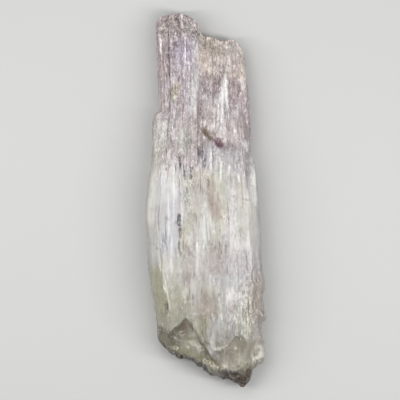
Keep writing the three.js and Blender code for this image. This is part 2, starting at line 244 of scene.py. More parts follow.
@dataclass(frozen=True)
class Section:
    """The cross-section, as its sides anticlockwise from the left of the back, seen from the base."""

    sides: tuple[Side, ...] = (
        Side(-0.72, 0, 5, 8), Side(0.74, 0, 2, 6), Side(0.94, 0.16, 2, 7), Side(1, 0.42, 2, 7),
        Side(0.95, 0.7, 2, 7), Side(0.8, 0.9, 4, 6), Side(0.5, 0.98, 10, 6), Side(-0.12, 1, 10, 6),
        Side(-0.78, 0.92, 3, 6), Side(-0.95, 0.74, 2, 7), Side(-1, 0.44, 2, 7), Side(-0.93, 0.17, 2, 6),
    )
    back_sides: tuple[int, ...] = (10, 11, 0, 1, 2)  # from the outline's left edge to its right edge
    thickness: Line = (
        (-105, 30), (-66, 33.5), (-40, 36), (-5, 36), (24, 34.5), (29, 33.5), (34, 31), (50, 29),
        (74, 27), (105, 24),
    )
    back_lift: Line = ((-105, 2.4), (-84, 1.2), (-76, 0), (40, 0), (44, 1.4), (74, 1.8), (105, 2.8))
    rough_break: Line = ((-27, 2), (-10, 2.5), (8, 4.5), (15, 6), (20.5, 9.5), (25, 9), (27, 4.5), (33.7, 2))
    base_length: float = 36.0
    base_rim: float = 0.5
    base_rough: float = 0.78
    tip_length: float = 11.0
    tip_rim: float = 0.74

    def front_share(self, x: Array, to_base: Array, to_tip: Array) -> Array:
        """The share of the thickness that is left at the front: it falls steeply over the rough break
        along the base and gently above it, and rounds off at the tip.

        Args:
            x: Place across, in mm.
            to_base: Distance up from the rim of the base.
            to_tip: Distance down from the rim of the tip.

        Returns:
            The share of the full thickness.
        """
        rough = along(self.rough_break, x)
        steep = mix(self.base_rim, self.base_rough, np.clip(to_base / rough, 0.0, 1.0))
        rest = 1.0 - np.clip((to_base - rough) / (self.base_length - rough), 0.0, 1.0)
        base = np.where(to_base < rough, steep, mix(1.0, self.base_rough, rest * rest))
        return base * mix(self.tip_rim, 1.0, rise(0.0, self.tip_length, to_tip))


@dataclass(frozen=True)
class Columns:
    """The grid's columns round the crystal, each on a rib of a side, and from -1 to 1 across that rib."""

    side: Array
    place: Array
    rib: Array
    half: Array

    @classmethod
    def lay_out(cls, section: Section) -> "Columns":
        """Lays the columns out, rib after rib, along the sides of a section.

        Args:
            section: The section whose sides say how many ribs and columns they have.

        Returns:
            The columns, anticlockwise seen from the base.
        """
        places = [
            (number, place, half)
            for number, side in enumerate(section.sides)
            for place in range(side.ribs)
            for half in np.linspace(-1.0, 1.0, side.fine)
        ]
        side, place, half = np.array(places).T
        starts = np.cumsum([0] + [s.ribs for s in section.sides])
        return cls(side.astype(int), place, place + starts[side.astype(int)], half)


@dataclass(frozen=True)
class GrowthRibs:
    """Flat ribs along the crystal, at a few levels, that change level at slanted ledges."""

    deep: float = 1.3
    levels: int = 4
    lean: float = 0.4
    riser: float = 0.34  # the part of a rib's width that its riser takes
    uneven: float = 0.25  # how far the widths differ, in ribs
    wander: float = 0.14  # how far the ribs' edges wander, in ribs
    wander_length: float = 45.0
    ledges: tuple[float, ...] = (-52, -38, -24, -10, 4, 16, 58)
    ledge_tall: float = 4.0
    ledge_scatter: float = 5.0
    ledge_slant: float = 1.2

    def edge(self, section: Section, columns: Columns, next_edge: int, y: Array) -> Array:
        """The share of its side at which a column's rib starts, or ends where next_edge is 1.

        Args:
            section: The section that the ribs lie on.
            columns: The grid's columns.
            next_edge: 0 for the edge where the rib starts, 1 for the one where it ends.
            y: Heights of the rows, as a column.

        Returns:
            Shares for each row and column.
        """
        edge = columns.place + next_edge
        ribs = np.array([s.ribs for s in section.sides])[columns.side]
        uneven = self.uneven * (2.0 * lattice(edge, columns.side, 3) - 1.0)
        wave = noise(edge * 3.7 + columns.side * 11.1, y / self.wander_length, 0.5)
        inner = (edge > 0) & (edge < ribs)
        return (edge + np.where(inner, uneven + self.wander * (2.0 * wave - 1.0), 0.0)) / ribs

    def place(self, section: Section, columns: Columns, y: Array) -> tuple[Array, Array]:
        """Each column's place on the section: on the flat of its rib, which a riser parts from the next.

        Args:
            section: The section that the ribs lie on.
            columns: The grid's columns.
            y: Heights of the rows, as a column.

        Returns:
            The shares of the half width and of the thickness, for each row and column.
        """
        corners = np.array([(s.across, s.up) for s in section.sides])
        start, end = corners[columns.side], np.roll(corners, -1, axis=0)[columns.side]
        low = self.edge(section, columns, 0, y)
        high = self.edge(section, columns, 1, y)
        share = mix(low, high, 0.5 + columns.half * (0.5 - self.riser / 2.0))
        return mix(start[:, 0], end[:, 0], share), mix(start[:, 1], end[:, 1], share)

    def ledge_middle(self, ledge: int, columns: Columns) -> Array:
        """The height of one ledge at each column: its own height for each rib, and slanted across it.

        Args:
            ledge: The ledge's number, from the base.
            columns: The grid's columns.

        Returns:
            The heights.
        """
        scatter = self.ledge_scatter * (2.0 * lattice(columns.rib, ledge, 5) - 1.0)
        slant = self.ledge_slant * (2.0 * lattice(columns.rib, ledge, 23) - 1.0)
        return self.ledges[ledge] + scatter + slant * columns.half

    def level(self, rib: Array, stretch: int) -> Array:
        """How far a rib lies inside the section on one stretch: a few steps, shared by neighbours.

        Args:
            rib: Each column's rib.
            stretch: The number of the stretch between two ledges, from the base.

        Returns:
            The depth at each column.
        """
        broad = noise(rib * 0.31 + 4.2, stretch * 0.4 + 1.7, 2.5)
        own = lattice(rib, stretch, 11)
        step = np.minimum(self.levels - 1, np.floor((0.55 * broad + 0.45 * own) * self.levels))
        return self.deep * step / (self.levels - 1)

    def depth(self, columns: Columns, y: Array) -> Array:
        """Depth of the ribs: each stretch has its level and leans a little, and a ledge mixes two of them.

        Args:
            columns: The grid's columns.
            y: Height of each point.

        Returns:
            The depth at each point.
        """
        count = len(self.ledges)
        middles = [self.ledge_middle(ledge, columns) for ledge in range(count)]
        total = 0.0
        for stretch in range(count + 1):
            inside = 0.5
            if 0 < stretch < count:
                low, high = middles[stretch - 1], middles[stretch]
                inside = np.clip((y - low) / (high - low), 0.0, 1.0)
            lean = self.lean * (2.0 * lattice(columns.rib, stretch, 31) - 1.0)
            own = self.level(columns.rib, stretch) + lean * (2.0 * inside - 1.0)
            passed = 1.0
            if stretch:
                passed = rise(-self.ledge_tall / 2.0, self.ledge_tall / 2.0, y - middles[stretch - 1])
            total = mix(total, own, passed)
        return total


@dataclass(frozen=True)
class FrontForms:
    """The main forms cut into the front: the crevice, slabs, the etched tip and the break's two steps."""

    crevice_line: Line = (
        (-2.9, 41), (-0.7, 38.8), (2.1, 36), (5.5, 33.2), (8.8, 30.4), (16.7, 28.7), (25.6, 27.6),
    )
    crevice_depth: Line = ((-5, 0), (-2, 0.7), (3, 1.6), (8, 1.5), (12, 0.4), (17, 0.1), (27, 0))
    crust_edge: Line = (
        (-2.9, 70.7), (0.4, 69.6), (3.2, 67.3), (7.1, 68.5), (11.1, 70.7), (15, 67.9), (23.4, 66.8),
    )
    scar_line: Line = (
        (-27.6, -64.7), (-25.3, -69), (-22.5, -72), (-19.2, -73.4), (-16.9, -70.8), (-13.7, -67.6),
        (-10.8, -64.8), (-8, -68), (-4.6, -73.8), (-1.2, -79.2), (2.1, -84.9), (6, -90.4), (14, -91.5),
        (21, -92.5), (28, -88), (34, -84),
    )
    scar_depth: Line = ((-27, 1), (-19, 2.2), (-11, 3), (-3, 2.4), (4, 1.5), (8, 0))
    lobe_line: Line = (
        (-28, -63.5), (-8, -62.5), (-3.5, -68.6), (-1, -74.6), (1.8, -79.1), (4.6, -83), (8, -83.4),
        (10.6, -81.6), (14.4, -78.6), (16.5, -75.6), (19.5, -74.8), (25.1, -77.1), (34, -77.4),
    )
    lobe_depth: Line = ((-3, 0), (0, 1.6), (8, 2.6), (15, 2), (24, 1.2), (33, 1))
    seam_x: float = -3.0
    slab_right: float = -20.8
    slab_top: float = 45.2
    slab_deep: float = 1.1
    tip_start: float = 76.0
    lump_deep: float = 1.5
    lip_share: float = 0.58
    lip_uneven: float = 3.4
    lip_deep: float = 0.6
    ridge_deep: float = 0.55

    @staticmethod
    def above(line: Line, x: Array, y: Array, uneven: float, seed: float) -> Array:
        """Height above a line across the laths, each of which breaks off at a height of its own.

        Args:
            line: The line, as (x, y).
            x: Place across.
            y: Place along.
            uneven: How far the laths' ends scatter, in mm.
            seed: A number that tells two lines apart.

        Returns:
            The height above the ragged line.
        """
        coarse = noise(x / 2.1, y / 8.0, seed) - 0.5
        fine = noise(x / 0.75, y / 4.0, seed + 5.0) - 0.5
        return y - along(line, x) - uneven * (coarse + 0.55 * fine)

    def above_crevice(self, x: Array, y: Array) -> Array:
        """Height above the crevice's line."""
        return self.above(self.crevice_line, x, y, 2.8, 8.8)

    def below_crust(self, x: Array, y: Array) -> Array:
        """Depth below the lower edge of the etched crust."""
        return -self.above(self.crust_edge, x, y, 3.6, 12.4)

    def below_scar(self, x: Array, y: Array) -> Array:
        """Depth below the upper step of the break."""
        return -self.above(self.scar_line, x, y, 1.8, 16.1)

    def below_lobe(self, x: Array, y: Array) -> Array:
        """Depth below the lower step of the break."""
        return -self.above(self.lobe_line, x, y, 3.0, 21.7)

    def crevice(self, x: Array, y: Array) -> Array:
        """Depth of the diagonal crevice: a steep lower wall on its line, and a slope up from its floor."""
        above = self.above_crevice(x, y)
        return along(self.crevice_depth, x) * between(-1.8, 0.4, 0.8, 5.5, above)

    def slabs(self, x: Array, y: Array) -> Array:
        """Depth beside the low slabs of the upper block.

        Args:
            x: Place across.
            y: Place along.

        Returns:
            The depth: the right column lies behind the left one, the surface below the etched crust lies
            behind the crust, and all but the left slab lies behind that slab.
        """
        right = rise(self.seam_x - 1.5, self.seam_x + 2.8, x)
        beside = self.slab_deep * right * rise(43.0, 50.0, y)
        crust = self.slab_deep * right * between(-0.6, 1.6, 14.0, 30.0, self.below_crust(x, y))
        outside = np.maximum(rise(-0.5, 0.7, x - self.slab_right), rise(-0.5, 0.5, y - self.slab_top))
        return beside + crust + self.slab_deep * outside * rise(12.0, 32.0, y)

    def lip(self, x: Array, y: Array, tip_y: Array) -> Array:
        """Height above the lip that crosses the tip at a share of the way up to the rim, eaten unevenly."""
        eaten = self.lip_uneven * (noise(x / 3.0, 1.5, 6.1) - 0.5)
        return y - mix(self.tip_start, tip_y, self.lip_share) + eaten

    def tip(self, x: Array, y: Array, tip_y: Array) -> Array:
        """Depth of the tip: rounded lumps that etching left, low ridges across it, and the drop at the lip.

        Args:
            x: Place across.
            y: Place along.
            tip_y: Height of the tip's rim.

        Returns:
            The depth at each point.
        """
        above_lip = self.lip(x, y, tip_y)
        lumps = self.lump_deep * rise(60.0, 74.0, y) * (1.0 - noise(x / 5.2 + 3.1, y / 5.8 + 7.7, 4.5))
        ridges = noise(x / 6.5, y / 1.5, 14.2) * between(-3.0, 0.0, 5.0, 8.0, above_lip)
        return lumps + self.lip_deep * rise(-1.0, 1.0, above_lip) + self.ridge_deep * ridges

    @staticmethod
    def step(depth: Line, x: Array, below: Array) -> Array:
        """Depth below one step of the break: it drops at the line and climbs back over 20 mm."""
        return along(depth, x) * rise(-0.3, 1.6, below) * (1.0 - 0.75 * rise(3.0, 20.0, below))

    def depth(self, x: Array, y: Array, tip_y: Array) -> Array:
        """Depth of all the forms together. The two steps of the break are uneven along their run.

        Args:
            x: Place across.
            y: Place along.
            tip_y: Height of the tip's rim.

        Returns:
            The depth at each point.
        """
        uneven = 0.55 + 0.9 * noise(x / 3.3, y / 2.7, 93.0)
        scar = self.step(self.scar_depth, x, self.below_scar(x, y)) * uneven
        lobe = self.step(self.lobe_depth, x, self.below_lobe(x, y)) * uneven
        return self.crevice(x, y) + self.slabs(x, y) + self.tip(x, y, tip_y) + scar + lobe


@dataclass(frozen=True)
class Laths:
    """One size of lath that the crystal cleaves into. They lie side by side, and each is broken across at
    heights of its own."""

    width: float
    shortest: float
    longest: float
    deep: float
    lean: float
    seed: int
    end: float = 2.5  # mm over which a length fades into the next

    def place(self, across: Array, y: Array) -> Array:
        """Place across in laths: the whole part tells the lath. Slow noise makes the widths uneven."""
        return across / self.width + 0.9 * noise(across / (3.0 * self.width), y / 260.0, self.seed + 0.5)

    def own(self, across: Array, y: Array, channel: int) -> Array:
        """A number from 0 to 1 for each unbroken length of each lath, which fades into the next length's.

        Args:
            across: Place across the surface.
            y: Place along.
            channel: Each channel has numbers of its own.

        Returns:
            The number at each point.
        """
        lath = np.floor(self.place(across, y))
        length = mix(self.shortest, self.longest, lattice(lath, self.seed, 2))
        run = y / length + 10.0 * lattice(lath, self.seed, 5)
        stretch = np.floor(run)
        here, after = (lattice(lath, stretch + step, self.seed + channel) for step in (0, 1))
        return mix(here, after, rise(1.0 - self.end / length, 1.0, run - stretch))

    def depth(self, across: Array, y: Array, out: Array) -> Array:
        """Depth of the laths: each length has its own level, and leans to one side by its own amount.

        Args:
            across: Place across the surface.
            y: Place along.
            out: How far the surface faces sideways. There the laths lean more, as steps.

        Returns:
            The depth at each point.
        """
        offset = 2.0 * (self.place(across, y) % 1.0) - 1.0
        lean = self.lean * (1.0 + 1.5 * np.abs(out))
        tilt = 2.0 * self.own(across, y, 2) - 1.0
        return self.deep * self.own(across, y, 1) + lean * (1.0 + offset * tilt)


@dataclass(frozen=True)
class Hollow:
    """A slot or pit between laths: its middle, half sizes and depth, and its slant in mm for each mm up."""

    x: float
    y: float
    wide: float
    tall: float
    deep: float
    slant: float = 0.0

    def depth(self, x: Array, y: Array) -> Array:
        """Depth of the hollow: full in its middle, with steep walls and drawn-out ends.

        Args:
            x: Place across.
            y: Place along.

        Returns:
            The depth at each point.
        """
        across = np.abs(x - self.x - self.slant * (y - self.y)) / self.wide
        up = np.abs(y - self.y) / self.tall
        return self.deep * fall(0.5, 1.0, across) * fall(0.6, 1.0, up)


@dataclass(frozen=True)
class FineRelief:
    """The relief that is too fine for the solid: laths, hollows, etched grain at the tip, rough break."""

    broad: Laths = Laths(3.6, 14, 40, 0.5, 0.1, 20, 4.0)
    coarse: Laths = Laths(1.5, 5, 17, 0.36, 0.13, 40)
    slim: Laths = Laths(0.8, 2.5, 9, 0.17, 0.09, 60, 1.5)
    hollows: tuple[Hollow, ...] = (
        Hollow(-14.7, -11, 0.9, 3.5, 1.1), Hollow(-14, -18.5, 0.7, 2.5, 0.8, -0.04),
        Hollow(-14.8, -25, 0.6, 3, 0.8), Hollow(-23.4, -24, 0.6, 6, 0.5),
        Hollow(-14.3, 21.5, 0.6, 4, 1.1, -0.1), Hollow(-11.6, 14.8, 0.6, 2.5, 1.1),
        Hollow(-8.3, 14.2, 0.5, 3, 0.9), Hollow(-7.2, 18.6, 0.8, 1.5, 1.3),
        Hollow(-22, 16.5, 0.6, 1.8, 0.8), Hollow(-3.4, 27.5, 0.8, 3.5, 1.0), Hollow(-1.4, 25, 0.6, 4, 0.9),
        Hollow(-0.4, 21.5, 0.6, 3, 0.9), Hollow(23.9, 19.5, 1.1, 6, 0.9), Hollow(26.2, 9, 0.6, 3.5, 0.9),
        Hollow(2.5, 8, 0.4, 3, 0.35, -0.4), Hollow(-21.4, -59.5, 0.9, 2.4, 0.9, -0.15),
        Hollow(20.5, -49, 0.5, 5, 0.4), Hollow(27.2, -42, 0.8, 5, 0.8), Hollow(29, -60, 0.7, 4, 0.8),
        Hollow(25.4, -66, 0.6, 4, 0.7), Hollow(-20.5, 70, 0.5, 4, 0.5), Hollow(-15.7, 101.3, 1.6, 1.5, 0.8),
        Hollow(-17, 87.5, 1.2, 1.6, 0.5), Hollow(-21.6, 82, 1.2, 1.8, 0.4),
    )

    @staticmethod
    def calm(x: Array, y: Array) -> Array:
        """Where the fine laths fade into smooth, cloudy skin: in broad patches of the lower block."""
        return rise(0.4, 0.62, clouds(x, y, 0.0, 9.0, 20.0, 27.0)) * fall(*UPPER_BLOCK, y)

    @staticmethod
    def splintered(across: Array, y: Array) -> Array:
        """Where the laths of the lower block are splintered: on the right, just above the break."""
        place = y + 6.0 * (noise(across / 4.0, y / 9.0, 87.0) - 0.5)
        return rise(9.0, 17.0, across) * between(-82.0, -75.0, -52.0, -42.0, place)

    def cleavage(self, across: Array, y: Array, out: Array, calm: Array) -> Array:
        """Depth of the laths of every size, with a slow swell beside them.

        Args:
            across: Place across the surface.
            y: Place along.
            out: How far the surface faces sideways.
            calm: How smooth the surface is.

        Returns:
            The depth at each point.
        """
        swell = 0.7 * noise(across / 11.0 + 2.3, y / 38.0, 71.5)
        fine = self.coarse.depth(across, y, out) + self.slim.depth(across, y, out)
        upper = rise(*UPPER_BLOCK, y)
        lively = mix(0.24 + 0.5 * np.abs(out), 0.85, upper) * (1.0 - 0.85 * calm)
        lively = np.maximum(lively, 0.9 * self.splintered(across, y) * (1.0 - np.abs(out)))
        broad = mix(0.45, 1.0, upper) * self.broad.depth(across, y, out)
        return swell + broad + lively * fine

    @staticmethod
    def etched(x: Array, y: Array, z: Array) -> Array:
        """Depth of the etched grain at the tip: two sizes of pits, a little drawn out along the crystal.

        Args:
            x: Place across.
            y: Place along.
            z: Height above the back.

        Returns:
            The depth at each point.
        """
        coarse = noise(x / 2.3, y / 2.9, z / 3.0 + 12.0)
        grain = noise(x / 0.95, y / 1.4, z / 1.5 + 31.0)
        return 0.55 * coarse * coarse + 0.42 * grain

    @staticmethod
    def shelly(x: Array, y: Array, z: Array) -> Array:
        """Depth of the glassy break: faint rings round the top of the scar, over a hollow, uneven ground.

        Args:
            x: Place across.
            y: Place along.
            z: Height above the back.

        Returns:
            The depth at each point.
        """
        distance = np.hypot(x + 10.8, y + 60.0)
        rings = np.sin(distance / 0.55 + 5.0 * noise(x / 6.0, y / 6.0, 3.3))
        return 0.08 * rings + 1.3 * clouds(x, y, z, 6.0, 7.0, 51.0)

    @staticmethod
    def broken(x: Array, y: Array, z: Array) -> Array:
        """Depth of the rough break: sharp-edged chips of two sizes, each the difference between two noises
        on turned axes.

        Args:
            x: Place across.
            y: Place along.
            z: Height above the back.

        Returns:
            The depth at each point.
        """
        a, b, c = x + 0.35 * y, 0.8 * y + 0.6 * z, 0.8 * z - 0.6 * y
        chips = noise(a / 3.1, b / 2.6, c / 3.5 + 5.0) - noise(a / 2.2 + 9.0, b / 3.0, c / 3.0 + 8.0)
        splinters = noise(a / 1.1, b / 1.6, c / 1.4 + 15.0) - noise(a / 0.9 + 3.0, b / 1.3, c / 1.2)
        return 2.6 * np.abs(chips) + 1.1 * np.abs(splinters)


# ---- The crystal's skin -------------------------------------------------------------------------


@dataclass(frozen=True)
class Skin:
    """Places on the crystal's surface, with what the relief and the colours need to know of them."""

    points: Array  # x, y, z in mm
    up: Array  # 0 on the back, 1 on the front
    to_base: Array  # distance up from the base's rim
    depth: Array  # how deep the fine relief is here
    calm: Array  # 1 where the surface is smooth

    def with_ends(self, base: Array, tip: Array) -> "Skin":
        """The skin with the rings that close its two ends, which are as deep and as rough as its rims.

        Args:
            base: The rings that close the base, from the innermost to the outermost.
            tip: The rings that close the tip, from the outermost to the innermost.

        Returns:
            The whole skin.
        """
        added = ((len(base), len(tip)), (0, 0))
        up, depth, calm = (np.pad(field, added, mode="edge") for field in (self.up, self.depth, self.calm))
        far = ((-BASE_FACE, LENGTH), (0.0, 0.0))
        to_base = np.pad(self.to_base, added, mode="linear_ramp", end_values=far)
        return Skin(np.concatenate([base, self.points, tip]), up, to_base, depth, calm)


@dataclass(frozen=True)
class CrystalForm:
    """Works out the crystal's surface from its outline, section, ribs, forms and fine relief."""

    outline: Outline = Outline()
    section: Section = Section()
    ribs: GrowthRibs = GrowthRibs()
    forms: FrontForms = FrontForms()
    fine: FineRelief = FineRelief()
    break_top: float = -60.0
    break_rows: int = 68
    break_crowd: float = 1.35  # how the rows crowd towards the base's rim
    shaft_rows: int = 200
    tip_rows: int = 46
    back_share: float = 0.6  # how much of the ribs' depth the back has
    resting_ribs: tuple[int, ...] = (0, 2, 4)
    resting_low: float = -70.0
    resting_high: float = 40.0
    sway: float = 9.0  # mm by which the outline's jumps wander down on their way to the back
    sway_level: float = 0.6  # the share of the thickness at which they stand at their own height
    side_share: float = 0.5  # how much of the ribs' depth the narrow sides have
    # mm by which the sides stand out at each height, so that the relief cut into them keeps the outline
    side_proud: Line = ((-100, 1.8), (-60, 1.4), (-30, 1.1), (10, 1.1), (24, 1.9), (105, 1.9))
    slope_reach: int = 5  # columns to each side from which the surface's direction is taken
    splinter: float = 2.4  # mm by which the base's rim is splintered
    cap_rings: tuple[float, ...] = (0.97, 0.9, 0.81, 0.71, 0.6, 0.48, 0.36, 0.24, 0.13, 0.04)
    cap_squeeze: float = 0.1
    cap_round: int = 5  # how close to the rim the end faces round off
    cap_pits: float = 2.6

    def rows(self) -> Array:
        """The rows' places, which crowd towards the base's rim.

        Returns:
            0 at the base's rim, 1 at the top of the break, 2 where the tip starts and 3 at the tip's rim.
        """
        lower = np.linspace(0.0, 1.0, self.break_rows, endpoint=False) ** self.break_crowd
        middle = np.linspace(1.0, 2.0, self.shaft_rows, endpoint=False)
        return np.concatenate([lower, middle, np.linspace(2.0, 3.0, self.tip_rows)])[:, None]

    def height(self, row: Array, base_y: Array, tip_y: Array) -> Array:
        """The height of a row.

        Args:
            row: The row's place, from 0 to 3.
            base_y: Height of the base's rim.
            tip_y: Height of the tip's rim.

        Returns:
            The height, which runs straight between the places 0, 1, 2 and 3.
        """
        lower = mix(base_y, self.break_top, row)
        middle = mix(self.break_top, self.forms.tip_start, row - 1.0)
        upper = mix(self.forms.tip_start, tip_y, row - 2.0)
        return np.where(row < 1.0, lower, np.where(row < 2.0, middle, upper))

    def smooth(self, x: Array, y: Array, up: Array) -> Array:
        """How smooth the surface is: calm patches, the left low facet, shoulder and band, the glassy scar
        and the foot of the break, but not the splintered laths, and less on the sides.

        Args:
            x: Place across.
            y: Place along.
            up: Share of the thickness.

        Returns:
            0 where it is rough, to almost 1 where it is smooth.
        """
        scar = rise(-0.5, 1.5, self.forms.below_scar(x, y)) * fall(4.0, 9.0, x)
        facet = fall(-24.5, -22.5, x + 0.18 * (y + 42.0)) * fall(-36.0, -26.0, y)
        right = rise(8.0, 14.0, x)
        low = fall(-88.0, -78.0, y - 6.0 * right) * mix(1.0, rise(-98.0, -93.0, y), right)
        shoulder = fall(-29.0, -25.5, x) * fall(10.0, 24.0, y)
        band = fall(4.0, 7.0, np.abs(x + 20.5)) * fall(16.0, 24.0, np.abs(y + 10.0))
        patchy = 0.8 * self.fine.calm(x, y) + scar + 0.9 * facet + 0.7 * low + 0.6 * shoulder + 0.9 * band
        patchy = patchy - 0.8 * self.fine.splintered(x, y)
        return np.clip(patchy, 0.0, 0.95) * mix(0.25, 1.0, rise(0.3, 0.75, up))

    def fine_depth(
        self, points: tuple[Array, ...], out: Array, up: Array, to_base: Array, calm: Array
    ) -> Array:
        """Depth of the fine relief. Each kind has its own part of the surface.

        Args:
            points: Place across, place along and height above the back.
            out: The x part of the direction out of the surface.
            up: Share of the thickness.
            to_base: Distance up from the base's rim.
            calm: How smooth the surface is.

        Returns:
            The depth at each point, which is never below 0.
        """
        x, y, z = points
        around = mix(x, z, np.abs(out))
        tip = rise(66.0, 80.0, y + 6.0 * noise(x / 6.0, y / 9.0, 3.3)) * (0.45 + 0.55 * rise(88.0, 95.0, y))
        rough = fall(0.75, 1.25, to_base / along(self.section.rough_break, x))
        worn = 0.45 * rise(24.0, 28.0, x) * fall(-36.0, -22.0, y)
        front = rise(*FRONT, up)
        hollows = sum(hollow.depth(x, y) for hollow in self.fine.hollows) * front
        hollows = hollows * rise(0.3, 0.5, noise(x / 1.3, y / 1.9, 44.0))
        cleaved = self.fine.cleavage(around, y, out, calm) * (1.0 - 0.3 * tip)
        glassy = self.fine.shelly(x, y, z) * fall(-82.0, -66.0, y) * front
        etched = self.fine.etched(x, y, z) * tip
        broken = self.fine.broken(x, y, z) * np.clip(rough + worn, 0.0, 1.0)
        return cleaved + glassy + etched + broken + hollows

    def resting(self, columns: Columns, x: Array, y: Array) -> Array:
        """Where the back rests on its cleavage plane: along a few ribs, whose ends fray out.

        Args:
            columns: The grid's columns.
            x: Place across.
            y: Place along.

        Returns:
            1 where it rests, and 0 elsewhere.
        """
        frayed = y + 12.0 * (noise(x / 1.8, y / 9.0, 83.0) - 0.5)
        low, high = self.resting_low, self.resting_high
        return np.isin(columns.rib, self.resting_ribs) * between(low, low + 5.0, high - 5.0, high, frayed)

    def skin(self, columns: Columns) -> Skin:
        """The surface between the two rims, for every row and column. The section is scaled to the outline
        and the thickness, pushed in along its own direction by the ribs and the fine relief, and cut
        straight down by the front's forms.

        Args:
            columns: The grid's columns.

        Returns:
            The skin, as arrays of rows by columns.
        """
        row = self.rows()
        middle = self.height(row, along(self.outline.base, 0.0), along(self.outline.tip, 0.0))
        across, up = self.ribs.place(self.section, columns, middle)
        share = (across + 1.0) / 2.0
        base_y = self.outline.base_at(share, up)
        tip_y = self.outline.tip_at(share, up)
        y = self.height(row, base_y, tip_y)
        sway = self.sway * np.abs(noise(0.7, up * 3.0, 3.0) - noise(0.7, self.sway_level * 3.0, 3.0))
        x = self.outline.across(y + sway, share)
        thickness = along(self.section.thickness, y)
        front = thickness * self.section.front_share(x, y - base_y, tip_y - y)
        z = mix(along(self.section.back_lift, y) * (1.0 - up), front, up)
        reach = self.slope_reach
        run_x, run_z = (np.roll(t, -reach, axis=1) - np.roll(t, reach, axis=1) for t in (x, z))
        length = np.hypot(run_x, run_z)
        out_x, out_z = run_z / length, -run_x / length
        resting = self.resting(columns, x, y)
        inset = self.ribs.depth(columns, y) * mix(0.75, 1.0, rise(10.0, 30.0, y))
        sideways = self.side_share * inset - along(self.side_proud, y)
        on_back = self.back_share * (1.0 - resting) * inset
        depth = np.where(up == 0.0, on_back, mix(inset, sideways, np.abs(out_x)))
        calm = self.smooth(x, y, up)
        fine = self.fine_depth((x, y, z), out_x, up, y - base_y, calm)
        fine = np.where(up == 0.0, 1.0 - resting, 1.0) * fine
        cut = rise(*FRONT, up) * self.forms.depth(x, y, tip_y)
        x = x - out_x * (depth + fine)
        z = np.maximum(0.0, z - out_z * (depth + fine) - cut)
        rough = fall(0.6, 1.2, (y - base_y) / along(self.section.rough_break, x))
        splinters = noise(x / 2.4, z / 2.1, 41.0) + 0.5 * noise(x / 0.9, z, 47.0)
        chipped = y + self.splinter * rough * (np.abs(splinters - 0.75) - 0.2) * rise(0.0, 0.2, up)
        return Skin(np.stack([x, chipped, z], axis=-1), up, y - base_y, fine, calm)

    def cap(self, rim: Array, line: Line, inward: float, front: Array, back: Array) -> Array:
        """Rings that close an end over its rim. They shrink towards the middle line of the end, which keeps
        to the line of the outline, and pits grow deeper away from the rim.

        Args:
            rim: The rim's points.
            line: The outline's line for this end.
            inward: 1 where inwards is up the crystal, -1 where it is down.
            front: The rim's columns on the front, from left to right.
            back: The rim's columns on the back, from left to right.

        Returns:
            The rings' points, from the outermost ring to the innermost.
        """
        ring = np.array(self.cap_rings)[:, None]
        x, y, z = rim.T
        centre = 0.5 * (x.min() + x.max())
        ring_x = mix(centre, x, 1.0 - self.cap_squeeze * (1.0 - ring))
        runs = [(np.maximum.accumulate(x[run]), z[run]) for run in (front, back)]
        middle = sum(0.5 * np.interp(ring_x, *run) for run in runs)
        ring_z = mix(middle, z, ring)
        pits = noise(ring_x / 5.5 + 8.1, ring_z / 4.0 + 1.7, 9.2)
        pits = pits + 0.7 * noise(ring_x / 1.6, ring_z / 1.7, 6.6)
        off_line = (y - along(line, x)) * ring**self.cap_round
        ring_y = along(line, ring_x) + inward * self.cap_pits * (1.0 - ring) * pits + off_line
        return np.stack([ring_x, ring_y, ring_z], axis=-1)


@dataclass(frozen=True)
class ClosedMesh:
    """A grid of rings, closed at its first and last ring, as vertices and faces."""

    rings: Array
    sharp: float = 32.0  # degrees: edges sharper than this stay sharp

    def walls(self) -> Array:
        """The faces between each ring and the next.

        Returns:
            Four vertex numbers for each face.
        """
        count = self.rings.shape[1]
        ring = np.arange(self.rings.shape[0] - 1)[:, None] * count
        here, after = np.arange(count), np.roll(np.arange(count), -1)
        corners = (ring + here, ring + count + here, ring + count + after, ring + after)
        return np.stack(corners, axis=-1).reshape(-1, 4)

    def zip(self, ring: int, front: Array, back: Array) -> Array:
        """Closes a thin ring. The front and back runs are walked together from left to right, and each step
        along one run makes a triangle with the point that the other run has reached.

        Args:
            ring: The ring's number.
            front: Its columns on the front, from left to right.
            back: Its columns on the back, from left to right.

        Returns:
            Triangles, wound as the first ring's are.
        """
        x = self.rings[ring, :, 0]
        front_x, back_x = np.maximum.accumulate(x[front]), np.maximum.accumulate(x[back])
        reached_front = np.maximum(np.searchsorted(front_x, back_x[1:], side="right") - 1, 0)
        reached_back = np.maximum(np.searchsorted(back_x, front_x[1:], side="left") - 1, 0)
        below = np.stack([front[reached_front], back[:-1], back[1:]], axis=-1)
        above = np.stack([back[reached_back], front[1:], front[:-1]], axis=-1)
        return np.concatenate([below, above]) + ring * self.rings.shape[1]

    def build(self, name: str, front: Array, back: Array) -> bpy.types.Mesh:
        """Makes the mesh, smooth but for its sharp edges.

        Args:
            name: The mesh's name.
            front: Columns on the front, from left to right.
            back: Columns on the back, from left to right.

        Returns:
            The mesh, in metres.
        """
        last = self.rings.shape[0] - 1
        closing = np.concatenate([self.zip(0, front, back), self.zip(last, front, back)[:, ::-1]])
        faces = self.walls().tolist() + closing.tolist()
        mesh = bpy.data.meshes.new(name)
        mesh.from_pydata((self.rings.reshape(-1, 3) * MM).tolist(), [], faces)
        mesh.validate()
        mesh.shade_smooth()
        mesh.set_sharp_from_angle(angle=math.radians(self.sharp))
        return mesh


# ---- Colour and clearness -----------------------------------------------------------------------


@dataclass(frozen=True)
class Look:
    """How one kind of kunzite looks: its colour, how much light passes it, and how rough its surface is."""

    colour: str
    clear: float
    rough: float

    def channels(self) -> Array:
        """The look as five channels: red, green and blue, clearness and roughness."""
        return np.array([*linear(self.colour), self.clear, self.rough])


